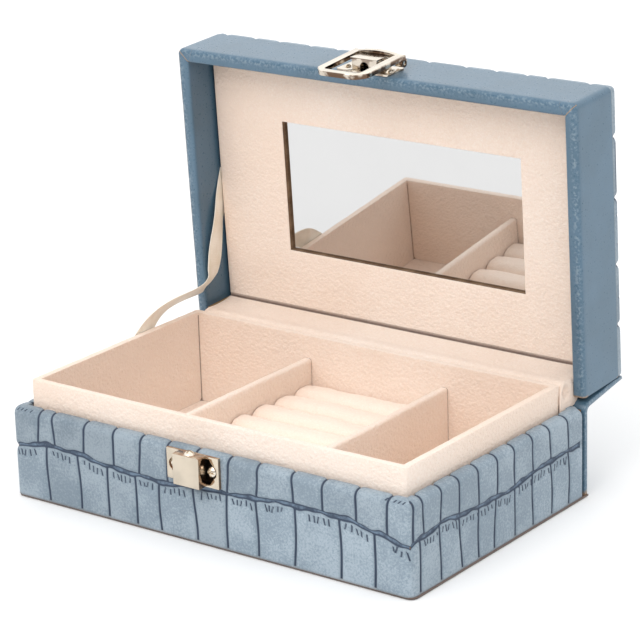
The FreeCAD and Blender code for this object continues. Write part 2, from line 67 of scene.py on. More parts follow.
def editWhole(piece):
    takeHold(piece)
    bpy.ops.object.mode_set(mode="EDIT")
    bpy.ops.mesh.select_all(action="SELECT")


def leaveEdit():
    bpy.ops.object.mode_set(mode="OBJECT")


def applyModifier(piece, name, kind, **values):
    takeHold(piece)
    modifier = piece.modifiers.new(name, kind)
    for key, value in values.items():
        setattr(modifier, key, value)
    bpy.ops.object.modifier_apply(modifier=name)


def addBlock(name, low, high):
    # a cube primitive at its size and place, in millimetres
    deselectAll()
    middle = [(a + b) / 2 * mm for a, b in zip(low, high)]
    size = [(b - a) * mm for a, b in zip(low, high)]
    bpy.ops.mesh.primitive_cube_add(size=1, location=middle, scale=size)
    piece = bpy.context.object
    piece.name = piece.data.name = name
    bpy.ops.object.transform_apply(location=True, rotation=True, scale=True)
    return piece


def pick(piece, kind, test):
    # opens the piece for editing and selects what passes the test; centres are in millimetres
    takeHold(piece)
    bpy.ops.object.mode_set(mode="EDIT")
    bpy.ops.mesh.select_mode(type=kind)
    bpy.ops.mesh.select_all(action="DESELECT")
    sheet = bmesh.from_edit_mesh(piece.data)
    sheet.normal_update()
    found = 0
    for item in (sheet.faces if kind == "FACE" else sheet.edges):
        if kind == "FACE":
            middle = item.calc_center_median() / mm
        else:
            middle = (item.verts[0].co + item.verts[1].co) / (2 * mm)
        if test(middle, item):
            item.select_set(True)
            found += 1
    sheet.select_flush_mode()
    bmesh.update_edit_mesh(piece.data)
    return found


def cutAcross(piece, place, direction):
    # one straight cut right through the piece
    editWhole(piece)
    bpy.ops.mesh.bisect(plane_co=[p * mm for p in place], plane_no=direction)
    leaveEdit()


def roundEdges(piece, radius, steps, test):
    pick(piece, "EDGE", test)
    bpy.ops.mesh.bevel(offset=radius * mm, segments=steps, affect="EDGES", clamp_overlap=True)
    leaveEdit()


def pullFaces(piece, move, test):
    pick(piece, "FACE", test)
    bpy.ops.mesh.extrude_region_move(TRANSFORM_OT_translate={"value": [m * mm for m in move]})
    leaveEdit()


def refine(piece, cell, zone=None):
    # halves every edge longer than the cell until none is left
    for turn in range(10):
        found = pick(piece, "EDGE", lambda c, e: e.calc_length() > cell * mm and (zone is None or zone(c)))
        if not found:
            break
        bpy.ops.mesh.subdivide(number_cuts=1)
    leaveEdit()


def points(piece):
    # vertex places in millimetres, one row each
    values = np.empty(len(piece.data.vertices) * 3)
    piece.data.vertices.foreach_get("co", values)
    return values.reshape(-1, 3) / mm


def setPoints(piece, places):
    piece.data.vertices.foreach_set("co", (places * mm).ravel())
    piece.data.update()


def setField(piece, name, values):
    # a number on each vertex, for the materials to read
    field = piece.data.attributes.new(name, "FLOAT", "POINT")
    field.data.foreach_set("value", np.asarray(values, dtype=np.float32))


def pressIn(piece, name, depth):
    # pushes the surface in along its normals by a depth on each vertex, with a weighted displace modifier
    most = float(max(depth.max(), 1e-6))
    group = piece.vertex_groups.new(name=name)
    for index, value in enumerate(depth / most):
        if value > 0.004:
            group.add([index], float(value), "REPLACE")
    applyModifier(piece, name, "DISPLACE", vertex_group=name, direction="NORMAL", mid_level=0, strength=-most * mm)
    piece.vertex_groups.remove(piece.vertex_groups[name])


def softWaves(places, size, height, seed):
    # slow, even unevenness of stuck-down cloth or leather, in millimetres
    shift = Vector((seed * 7.3, seed * 3.1, seed * 5.7))
    return np.array([noise.noise(Vector(p) / size + shift) for p in places]) * height


def openLid(piece):
    # turns a piece drawn with the lid shut to where it lies with the lid open
    axis = Vector(hingeLine) * mm
    turn = Matrix.Translation(axis) @ Matrix.Rotation(math.radians(-lidOpenAngle), 4, "X")
    piece.data.transform(turn @ Matrix.Translation(-axis))
    piece.data.update()


def smoothShade(piece, angle=40):
    takeHold(piece)
    bpy.ops.object.shade_smooth_by_angle(angle=math.radians(angle))
    for name in [m.name for m in piece.modifiers]:
        bpy.ops.object.modifier_apply(modifier=name)
    deselectAll()


def finishPiece(piece, material, body, nodes):
    # a piece that already has its finishes passes None
    if material:
        piece.data.materials.clear()
        piece.data.materials.append(material)
    if body:
        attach(piece, body)
    if nodes:
        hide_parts(*nodes)


def join(tree, source, target):
    tree.links.new(source, target)


def addNode(tree, kind, **values):
    node = tree.nodes.new(kind)
    for key, value in values.items():
        if key in node.inputs:
            node.inputs[key].default_value = value
        else:
            setattr(node, key, value)
    return node


def addMath(tree, work, first, second=None, clamp=False):
    node = tree.nodes.new("ShaderNodeMath")
    node.operation = work
    node.use_clamp = clamp
    for index, value in enumerate((first, second)):
        if value is None:
            continue
        if isinstance(value, (int, float)):
            node.inputs[index].default_value = value
        else:
            join(tree, value, node.inputs[index])
    return node.outputs[0]


def addMix(tree, factor, first, second, blend="MIX"):
    node = tree.nodes.new("ShaderNodeMix")
    node.data_type = "RGBA"
    node.blend_type = blend
    for socket, value in ((node.inputs[0], factor), (node.inputs[6], first), (node.inputs[7], second)):
        if isinstance(value, (int, float)):
            socket.default_value = value
        elif isinstance(value, tuple):
            socket.default_value = (*value, 1)
        else:
            join(tree, value, socket)
    return node.outputs[2]


def addRange(tree, value, fromLow, fromHigh, toLow, toHigh, smooth=False):
    node = tree.nodes.new("ShaderNodeMapRange")
    node.interpolation_type = "SMOOTHSTEP" if smooth else "LINEAR"
    join(tree, value, node.inputs["Value"])
    for name, number in (("From Min", fromLow), ("From Max", fromHigh), ("To Min", toLow), ("To Max", toHigh)):
        node.inputs[name].default_value = number
    return node.outputs["Result"]


def paint(red, green, blue):
    # a screen colour from 0 to 255 as the light value that the shader wants
    def toLight(value):
        value /= 255
        return value / 12.92 if value <= 0.04045 else ((value + 0.055) / 1.055) ** 2.4
    return (toLight(red), toLight(green), toLight(blue))


def startGroup(name, inputs, outputs):
    group = bpy.data.node_groups.new(name, "ShaderNodeTree")
    for label, kind, value in inputs:
        socket = group.interface.new_socket(name=label, in_out="INPUT", socket_type=kind)
        if value is not None:
            socket.default_value = value
    for label, kind in outputs:
        group.interface.new_socket(name=label, in_out="OUTPUT", socket_type=kind)
    return group, group.nodes.new("NodeGroupInput"), group.nodes.new("NodeGroupOutput")


numberSocket, vectorSocket, colourSocket = "NodeSocketFloat", "NodeSocketVector", "NodeSocketColor"


def makeGrainGroup():
    # small pebbles with fine creases between them
    group, given, result = startGroup(
        "pebbleGrain",
        [("Vector", vectorSocket, None), ("Scale", numberSocket, 1400.0), ("Creases", numberSocket, 0.5)],
        [("Height", numberSocket), ("Speck", numberSocket)])
    warp = addNode(group, "ShaderNodeTexNoise", Detail=2.0)
    join(group, given.outputs["Vector"], warp.inputs["Vector"])
    join(group, addMath(group, "MULTIPLY", given.outputs["Scale"], 0.6), warp.inputs["Scale"])
    cells = addNode(group, "ShaderNodeTexVoronoi", feature="SMOOTH_F1", Smoothness=0.5)
    join(group, given.outputs["Vector"], cells.inputs["Vector"])
    join(group, given.outputs["Scale"], cells.inputs["Scale"])
    creases = addNode(group, "ShaderNodeTexNoise", Detail=6.0, Roughness=0.7)
    join(group, given.outputs["Vector"], creases.inputs["Vector"])
    join(group, addMath(group, "MULTIPLY", given.outputs["Scale"], 0.25), creases.inputs["Scale"])
    pebbles = addMath(group, "SUBTRACT", 1.0, cells.outputs["Distance"])
    rough = addMath(group, "MULTIPLY", creases.outputs["Fac"], given.outputs["Creases"])
    join(group, addMath(group, "ADD", pebbles, rough), result.inputs["Height"])
    join(group, warp.outputs["Fac"], result.inputs["Speck"])
    return group


def makeMottleGroup():
    # broad uneven tone with finer freckles on top
    group, given, result = startGroup(
        "unevenTone",
        [("Vector", vectorSocket, None), ("Broad", numberSocket, 60.0), ("Fine", numberSocket, 900.0),
         ("Light", colourSocket, None), ("Dark", colourSocket, None), ("Freckles", numberSocket, 0.4)],
        [("Colour", colourSocket), ("Mask", numberSocket)])
    broad = addNode(group, "ShaderNodeTexNoise", Detail=3.0, Roughness=0.55)
    fine = addNode(group, "ShaderNodeTexNoise", Detail=4.0, Roughness=0.75)
    for node, name in ((broad, "Broad"), (fine, "Fine")):
        join(group, given.outputs["Vector"], node.inputs["Vector"])
        join(group, given.outputs[name], node.inputs["Scale"])
    slow = addRange(group, broad.outputs["Fac"], 0.3, 0.7, 0.0, 1.0, smooth=True)
    quick = addRange(group, fine.outputs["Fac"], 0.35, 0.65, -0.5, 0.5)
    freckled = addMath(group, "MULTIPLY", quick, given.outputs["Freckles"])
    mask = addMath(group, "ADD", slow, freckled, clamp=True)
    colour = addMix(group, mask, given.outputs["Dark"], given.outputs["Light"])
    join(group, colour, result.inputs["Colour"])
    join(group, mask, result.inputs["Mask"])
    return group


def makeNapGroup():
    # short upright pile, brushed a little one way
    group, given, result = startGroup(
        "shortNap",
        [("Vector", vectorSocket, None), ("Scale", numberSocket, 1500.0)],
        [("Height", numberSocket), ("Shade", numberSocket)])
    pile = addNode(group, "ShaderNodeTexNoise", Detail=5.0, Roughness=0.8)
    join(group, given.outputs["Vector"], pile.inputs["Vector"])
    join(group, given.outputs["Scale"], pile.inputs["Scale"])
    tufts = addNode(group, "ShaderNodeTexVoronoi", Randomness=1.0)
    join(group, given.outputs["Vector"], tufts.inputs["Vector"])
    join(group, addMath(group, "MULTIPLY", given.outputs["Scale"], 0.8), tufts.inputs["Scale"])
    brushed = addNode(group, "ShaderNodeTexNoise", Scale=620.0, Detail=3.0, Roughness=0.6)
    join(group, given.outputs["Vector"], brushed.inputs["Vector"])
    height = addMath(group, "ADD", pile.outputs["Fac"], addMath(group, "MULTIPLY", tufts.outputs["Distance"], 0.6))
    join(group, addMath(group, "ADD", height, brushed.outputs["Fac"]), result.inputs["Height"])
    both = addMath(group, "ADD", addMath(group, "MULTIPLY", pile.outputs["Fac"], 0.6),
                   addMath(group, "MULTIPLY", brushed.outputs["Fac"], 0.4))
    join(group, addRange(group, both, 0.35, 0.65, 0.0, 1.0), result.inputs["Shade"])
    return group


def makeLineGroup():
    # 1 inside a line, 0 outside it, from a distance in millimetres
    group, given, result = startGroup(
        "thinLine",
        [("Distance", numberSocket, 1.0), ("Width", numberSocket, 0.3), ("Fade", numberSocket, 0.2)],
        [("Mask", numberSocket)])
    away = addMath(group, "SUBTRACT", addMath(group, "ABSOLUTE", given.outputs["Distance"]), given.outputs["Width"])
    share = addMath(group, "DIVIDE", away, given.outputs["Fade"])
    join(group, addMath(group, "SUBTRACT", 1.0, share, clamp=True), result.inputs["Mask"])
    return group


grainGroup = makeGrainGroup()
mottleGroup = makeMottleGroup()
napGroup = makeNapGroup()
lineGroup = makeLineGroup()
print("shared effects made")


def useGroup(tree, group, vector=None, **values):
    node = tree.nodes.new("ShaderNodeGroup")
    node.node_tree = group
    if vector is not None:
        join(tree, vector, node.inputs["Vector"])
    for name, value in values.items():
        if isinstance(value, bpy.types.NodeSocket):
            join(tree, value, node.inputs[name])
        else:
            node.inputs[name].default_value = (*value, 1) if isinstance(value, tuple) else value
    return node


def startMaterial(name, roughness, specular=0.5):
    material = bpy.data.materials.new(name)
    material.use_nodes = True
    tree = material.node_tree
    shader = tree.nodes["Principled BSDF"]
    shader.inputs["Roughness"].default_value = roughness
    shader.inputs["Specular IOR Level"].default_value = specular
    place = tree.nodes.new("ShaderNodeTexCoord").outputs["Object"]
    return material, tree, shader, place


def addBump(tree, shader, height, depth, strength=1.0):
    # depth is in millimetres
    bump = addNode(tree, "ShaderNodeBump", Strength=strength, Distance=depth * mm)
    join(tree, height, bump.inputs["Height"])
    join(tree, bump.outputs["Normal"], shader.inputs["Normal"])


def readField(tree, name):
    return addNode(tree, "ShaderNodeAttribute", attribute_name=name).outputs["Fac"]


def makeCrocLeather(name, light, dark, groove, cutEdge):
    material, tree, shader, place = startMaterial(name, 0.55, 0.35)
    tone = useGroup(tree, mottleGroup, place, Broad=55.0, Fine=1000.0, Light=light, Dark=dark, Freckles=1.5)
    grain = useGroup(tree, grainGroup, place, Scale=1900.0, Creases=1.5)
    gap = readField(tree, "grooveGap")
    inside = addRange(tree, gap, 0.2, -0.12, 0.0, 1.0, smooth=True)
    # painted shade: the plates are painted darker beside the grooves
    nearGrooveShade = addRange(tree, gap, 1.4, 0.0, 0.0, 0.45, smooth=True)
    # plateToneAndLight holds each plate's own random tone together with painted light
    plate = addRange(tree, readField(tree, "plateToneAndLight"), -1.0, 1.0, 0.8, 1.2)
    plain = addMix(tree, 1.0, tone.outputs["Colour"], plate, "MULTIPLY")
    shaded = addMix(tree, nearGrooveShade, plain, dark)
    streaks = addNode(tree, "ShaderNodeTexNoise", Scale=190.0, Detail=4.0, Roughness=0.7)
    join(tree, place, streaks.inputs["Vector"])
    # the middle of each main groove is painted lighter, in streaks
    lighterGrooveMiddle = addMath(tree, "MULTIPLY", addRange(tree, readField(tree, "mainLine"), 0.35, 0.7, 0.0, 1.0, smooth=True),
                     addRange(tree, streaks.outputs["Fac"], 0.42, 0.6, 0.1, 0.85))
    lines = addMix(tree, inside, shaded, addMix(tree, lighterGrooveMiddle, groove, paint(112, 132, 152)))
    raw = addMix(tree, readField(tree, "cutEdge"), lines, cutEdge)
    join(tree, raw, shader.inputs["Base Color"])
    join(tree, addRange(tree, tone.outputs["Mask"], 0.0, 1.0, 0.48, 0.66), shader.inputs["Roughness"])
    addBump(tree, shader, grain.outputs["Height"], 0.05)
    return material


def makeSmoothLeather(name, light, dark, roughness, seam):
    material, tree, shader, place = startMaterial(name, roughness, 0.5)
    tone = useGroup(tree, mottleGroup, place, Broad=45.0, Fine=2200.0, Light=light, Dark=dark, Freckles=0.35)
    grain = useGroup(tree, grainGroup, place, Scale=1500.0, Creases=0.5)
    shader.inputs["Coat Weight"].default_value = 0.3
    shader.inputs["Coat Roughness"].default_value = 0.3
    mitre = useGroup(tree, lineGroup, Distance=readField(tree, "mitre"), Width=0.12, Fade=0.12)
    # painted highlight: light speckled dots along the rims and edges stand for the glint of the grain
    glinting = addMath(tree, "MULTIPLY", readField(tree, "rimGlint"),
                   addRange(tree, grain.outputs["Speck"], 0.5, 0.62, 0.0, 1.0), clamp=True)
    colour = addMix(tree, addMath(tree, "MULTIPLY", glinting, 0.28), tone.outputs["Colour"], paint(196, 208, 214))
    colour = addMix(tree, mitre.outputs["Mask"], colour, seam)
    raw = addMix(tree, readField(tree, "cutEdge"), colour, seam)
    join(tree, raw, shader.inputs["Base Color"])
    join(tree, addRange(tree, grain.outputs["Speck"], 0.3, 0.7, roughness - 0.06, roughness + 0.08),
                   shader.inputs["Roughness"])
    addBump(tree, shader, grain.outputs["Speck"], 0.03)
    return material


def makeVelour(name, light, dark, seam, depth=0.22):
    material, tree, shader, place = startMaterial(name, 0.95, 0.12)
    shader.inputs["Sheen Weight"].default_value = 0.25
    shader.inputs["Sheen Roughness"].default_value = 0.5
    shader.inputs["Sheen Tint"].default_value = (1.0, 0.93, 0.88, 1)
    nap = useGroup(tree, napGroup, place, Scale=900.0)
    tone = useGroup(tree, mottleGroup, place, Broad=7.0, Fine=1500.0, Light=light, Dark=dark, Freckles=0.8)
    shaded = addMix(tree, addRange(tree, nap.outputs["Shade"], 0.0, 1.0, 0.6, 0.0), tone.outputs["Colour"], dark)
    # painted shade: a dark line of the seam colour along the joins and corners, where shade falls
    line = useGroup(tree, lineGroup, Distance=readField(tree, "seamShadeGap"), Width=0.12, Fade=0.35)
    seamShaded = addMix(tree, addMath(tree, "MULTIPLY", line.outputs["Mask"], 0.75), shaded, seam)
    join(tree, seamShaded, shader.inputs["Base Color"])
    join(tree, addRange(tree, nap.outputs["Shade"], 0.0, 1.0, 1.0, 0.86), shader.inputs["Roughness"])
    addBump(tree, shader, nap.outputs["Height"], depth, 1.0)
    return material


def makeBoard(name, light, dark):
    material, tree, shader, place = startMaterial(name, 0.9, 0.2)
    tone = useGroup(tree, mottleGroup, place, Broad=160.0, Fine=2600.0, Light=light, Dark=dark, Freckles=0.9)
    layers = addNode(tree, "ShaderNodeTexWave", Scale=900.0, Distortion=3.0, Detail=3.0, bands_direction="Z")
    join(tree, place, layers.inputs["Vector"])
    join(tree, addMix(tree, addMath(tree, "MULTIPLY", layers.outputs["Fac"], 0.3), tone.outputs["Colour"],
                          dark), shader.inputs["Base Color"])
    addBump(tree, shader, tone.outputs["Mask"], 0.1)
    return material


def makeMetal(name, colour, roughness, shade):
    material, tree, shader, place = startMaterial(name, roughness, 0.5)
    shader.inputs["Metallic"].default_value = 1.0
    tone = useGroup(tree, mottleGroup, place, Broad=120.0, Fine=3500.0, Light=colour,
                    Dark=tuple(c * 0.86 for c in colour), Freckles=0.25)
    # painted shade and reflection: the sides of the pressed parts are painted browner, in uneven patches
    patches = addNode(tree, "ShaderNodeTexNoise", Scale=230.0, Detail=2.0, Roughness=0.5)
    join(tree, place, patches.inputs["Vector"])
    sideShadeMask = addMath(tree, "MULTIPLY", readField(tree, "sideShade"),
                      addRange(tree, patches.outputs["Fac"], 0.4, 0.56, 0.25, 1.0, smooth=True), clamp=True)
    join(tree, addMix(tree, sideShadeMask, tone.outputs["Colour"], shade), shader.inputs["Base Color"])
    join(tree, addRange(tree, tone.outputs["Mask"], 0.0, 1.0, roughness + 0.07, roughness - 0.03),
                   shader.inputs["Roughness"])
    scuffs = addNode(tree, "ShaderNodeTexNoise", Scale=700.0, Detail=5.0, Roughness=0.6)
    join(tree, place, scuffs.inputs["Vector"])
    addBump(tree, shader, scuffs.outputs["Fac"], 0.004)
    return material


def makeMirror():
    material, tree, shader, place = startMaterial("mirrorSilver", 0.02, 0.5)
    shader.inputs["Metallic"].default_value = 1.0
    film = useGroup(tree, mottleGroup, place, Broad=18.0, Fine=260.0, Light=(0.65, 0.65, 0.65),
                    Dark=(0.635, 0.635, 0.635), Freckles=0.2)
    join(tree, film.outputs["Colour"], shader.inputs["Base Color"])
    join(tree, addRange(tree, film.outputs["Mask"], 0.0, 1.0, 0.028, 0.012), shader.inputs["Roughness"])
    # the glass is glued in leaning slightly forward at its head
    split = addNode(tree, "ShaderNodeSeparateXYZ")
    join(tree, place, split.inputs[0])
    addBump(tree, shader, addMath(tree, "MULTIPLY", split.outputs["Z"], math.tan(math.radians(1.7))), 1000.0)
    return material


def makeFoam():
    material, tree, shader, place = startMaterial("openFoam", 0.95, 0.1)
    pores = addNode(tree, "ShaderNodeTexVoronoi", Scale=1300.0)
    join(tree, place, pores.inputs["Vector"])
    join(tree, addMix(tree, addRange(tree, pores.outputs["Distance"], 0.1, 0.6, 0.0, 1.0), paint(176, 168, 150),
                          paint(226, 220, 204)), shader.inputs["Base Color"])
    addBump(tree, shader, pores.outputs["Distance"], 0.3)
    return material


def makeRibbonSatin():
    material, tree, shader, place = startMaterial("ribbonSatin", 0.5, 0.45)
    shader.inputs["Sheen Weight"].default_value = 0.35
    shader.inputs["Sheen Roughness"].default_value = 0.35
    weave = addNode(tree, "ShaderNodeUVMap", uv_map="cloth").outputs["UV"]
    ribs = addNode(tree, "ShaderNodeTexWave", Scale=420.0, Distortion=0.6, Detail=1.0, bands_direction="Y")
    join(tree, weave, ribs.inputs["Vector"])
    edge = useGroup(tree, lineGroup, Distance=readField(tree, "edgeGap"), Width=0.35, Fade=0.2)
    tone = useGroup(tree, mottleGroup, place, Broad=110.0, Fine=1800.0, Light=paint(252, 247, 236),
                    Dark=paint(242, 233, 216), Freckles=0.4)
    colour = addMix(tree, addMath(tree, "MULTIPLY", ribs.outputs["Fac"], 0.1), tone.outputs["Colour"],
                    paint(230, 218, 198))
    colour = addMix(tree, addMath(tree, "MULTIPLY", edge.outputs["Mask"], 0.3), colour, paint(255, 250, 238))
    join(tree, colour, shader.inputs["Base Color"])
    addBump(tree, shader, ribs.outputs["Fac"], 0.06)
    return material


crocColours = dict(light=paint(155, 168, 178), dark=paint(126, 141, 153), groove=paint(54, 66, 84),
                   cutEdge=paint(92, 78, 66))
crocLeather = makeCrocLeather("crocLeather", **crocColours)
smoothLeather = makeSmoothLeather("smoothBlueLeather", paint(76, 107, 129), paint(69, 99, 119), 0.32,
                                  paint(170, 132, 84))
bottomLeather = makeSmoothLeather("bottomLeathercloth", paint(100, 88, 82), paint(78, 67, 61), 0.6,
                                  paint(122, 98, 86))
# the third colour of each velour is painted shade for its joins, corners and roll ends
velour = makeVelour("blushVelour", paint(253, 240, 229), paint(243, 221, 204), paint(96, 60, 42), 0.42)
rollVelour = makeVelour("rollVelour", paint(253, 240, 228), paint(245, 225, 209), paint(196, 158, 134), 0.25)
greyboard = makeBoard("greyboard", paint(150, 122, 96), paint(106, 80, 60))
paleGold = makeMetal("paleGold", paint(234, 224, 209), 0.12, paint(92, 66, 48))
mirrorSilver = makeMirror()
openFoam = makeFoam()
ribbonSatin = makeRibbonSatin()
catchGold = makeMetal("catchGold", paint(214, 202, 184), 0.16, paint(150, 108, 76))
# painted shadow for the insides of the sunk octagons
recessShadow = makeMetal("recessShadow", paint(34, 28, 24), 0.3, paint(34, 28, 24))
print("materials made")

# Every carried-over node gets the finish of its kind.
nodeFinish = {"croc_leather": crocLeather, "blue_leather": smoothLeather, "bottom_card": bottomLeather,
              "velour": velour, "roll_velour": rollVelour, "greyboard": greyboard, "foam": openFoam,
              "mirror_glass": mirrorSilver, "pale_gold": paleGold, "ribbon": ribbonSatin}
for nodeName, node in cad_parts.items():
    for place in node.material_slots:
        kind = place.material.name.split(".")[0]
        place.material = smoothLeather if nodeName == "lid_back_board" else nodeFinish[kind]
print("frame pieces finished")


camera = dict(place=(653.55, -844.92, 428.54), turn=0.6481, tilt=-0.319, roll=-0.0307, lens=157.03)


def makeCamera():
    turn, tilt, roll = camera["turn"], camera["tilt"], camera["roll"]
    ahead = Vector((-math.sin(turn) * math.cos(tilt), math.cos(turn) * math.cos(tilt), math.sin(tilt)))
    right = Vector((math.cos(turn), math.sin(turn), 0))
    above = right.cross(ahead)
    rolledRight = math.cos(roll) * right + math.sin(roll) * above
    rolledAbove = -math.sin(roll) * right + math.cos(roll) * above
    deselectAll()
    bpy.ops.object.camera_add(location=[p * mm for p in camera["place"]])
    eye = bpy.context.object
    eye.name = "boxCamera"
    turned = Matrix((rolledRight, rolledAbove, -ahead)).transposed().to_4x4()
    eye.matrix_world = Matrix.Translation(Vector(camera["place"]) * mm) @ turned
    eye.data.sensor_width = 36
    eye.data.lens = camera["lens"]
    eye.data.clip_start = 0.01
    bpy.context.scene.camera = eye


makeCamera()

studio = dict(floorSize=12.0, floorColour=(0.82, 0.82, 0.82), floorGlow=0.1, skyFront=0.25, skyBack=1.0, skyHigh=1.34,
              keyPlace=(0.1, -1.7, 1.7), keySize=1.2, keyPower=13.0)


def addPanelLight(name, place, size, power):
    deselectAll()
    bpy.ops.object.light_add(type="AREA", location=place)
    lamp = bpy.context.object
    lamp.name = name
    lamp.data.shape = "SQUARE"
    lamp.data.size = size
    lamp.data.energy = power
    aim = Vector((0, 0, 0.08)) - Vector(place)
    lamp.rotation_euler = aim.to_track_quat("-Z", "Y").to_euler()


def makeStudio():
    deselectAll()
    bpy.ops.mesh.primitive_plane_add(size=studio["floorSize"], location=(0, 0, -0.0002))
    floor = bpy.context.object
    floor.name = "studioFloor"
    bpy.ops.object.transform_apply(location=True, rotation=True, scale=True)
    material, tree, shader, place = startMaterial("paleFloor", 0.9, 0.1)
    tone = useGroup(tree, mottleGroup, place, Broad=0.8, Fine=12.0, Light=studio["floorColour"],
                    Dark=tuple(c * 0.985 for c in studio["floorColour"]), Freckles=0.1)
    join(tree, tone.outputs["Colour"], shader.inputs["Base Color"])
    shader.inputs["Emission Color"].default_value = (1, 1, 1, 1)
    shader.inputs["Emission Strength"].default_value = studio["floorGlow"]
    floor.data.materials.append(material)
    world = bpy.data.worlds.new("studioSky")
    world.use_nodes = True
    sky = world.node_tree
    direction = addNode(sky, "ShaderNodeTexCoord")
    split = addNode(sky, "ShaderNodeSeparateXYZ")
    join(sky, direction.outputs["Generated"], split.inputs[0])
    # dim low down behind the camera, bright low down behind the box, bright overhead
    behind = addMath(sky, "SUBTRACT", addMath(sky, "MULTIPLY", split.outputs["Y"], 0.85),
                     addMath(sky, "MULTIPLY", split.outputs["X"], 0.5))
    low = addRange(sky, behind, -0.35, 0.35, studio["skyFront"], studio["skyBack"], smooth=True)
    height = addRange(sky, split.outputs["Z"], 0.02, 0.5, 0.0, 1.0, smooth=True)
    lift = addMath(sky, "MULTIPLY", addMath(sky, "SUBTRACT", studio["skyHigh"], low), height)
    join(sky, addMath(sky, "ADD", low, lift), sky.nodes["Background"].inputs["Strength"])
    sky.nodes["Background"].inputs["Color"].default_value = (1, 1, 1, 1)
    bpy.context.scene.world = world
    bpy.context.scene.view_settings.view_transform = "Standard"
    addPanelLight("keyPanel", studio["keyPlace"], studio["keySize"], studio["keyPower"])


makeStudio()
print("camera, floor and lights made")


# The embossed crocodile pattern:
# s runs round the box from the left side over the front to the right side, t runs up the wall and over the rim.
baseCroc = dict(
    mains=[[(-221, 23.5), (-205, 25), (-188, 24), (-172, 22), (-155, 22.5), (-138, 24.5), (-120, 24), (-100, 22.5),
            (-81, 25.5), (-65, 25), (-49, 23), (-35, 22.5), (-19, 22), (-1, 24), (14, 24.5), (43, 26.5),
            (68, 26.5), (84, 24), (95, 21.5), (109, 23), (123, 24.5), (140, 22.5), (155, 22), (169, 21.5),
            (186, 23.5), (200, 24), (221, 24)]],
    rows=[[-212, -198, -185, -171, -158, -144, -131, -118, -105, -81.5, -65, -49, -35, -22.5, -4.5, 12, 26.5, 45.5,
           66.5, 83, 106, 119.5, 133, 146, 158, 172, 185, 198, 211],
          [-214, -201, -187, -174, -160, -147, -133, -120, -108, -86, -77.5, -61.5, -45.5, -32, -17.5, -3, 12.5,
           26.5, 44, 59, 74, 89, 102.5, 109, 120.5, 133, 146, 159, 172, 185, 198, 211]],
    rimTicks=[(-97, 39.5), (-95, 39.5), (-93, 39.5), (-90, 39.6), (88, 39.6), (92, 39.6), (94, 39.6), (96, 39.6)],
    mainHalf=1.0, lineHalf=0.5, tickHalf=0.34, mainDepth=0.75, lineDepth=0.5, tickDepth=0.3, swell=0.32)


def makeWavyLine(corners):
    # a smooth line through the corners, eased between them
    places = np.array([c[0] for c in corners], float)
    levels = np.array([c[1] for c in corners], float)

    def at(s):
        index = np.clip(np.searchsorted(places, s) - 1, 0, len(places) - 2)
        share = np.clip((s - places[index]) / (places[index + 1] - places[index]), 0, 1)
        share = share * share * (3 - 2 * share)
        return levels[index] * (1 - share) + levels[index + 1] * share + 0.2 * np.sin(s * 0.37) + 0.09 * np.sin(s * 0.9)
    return at


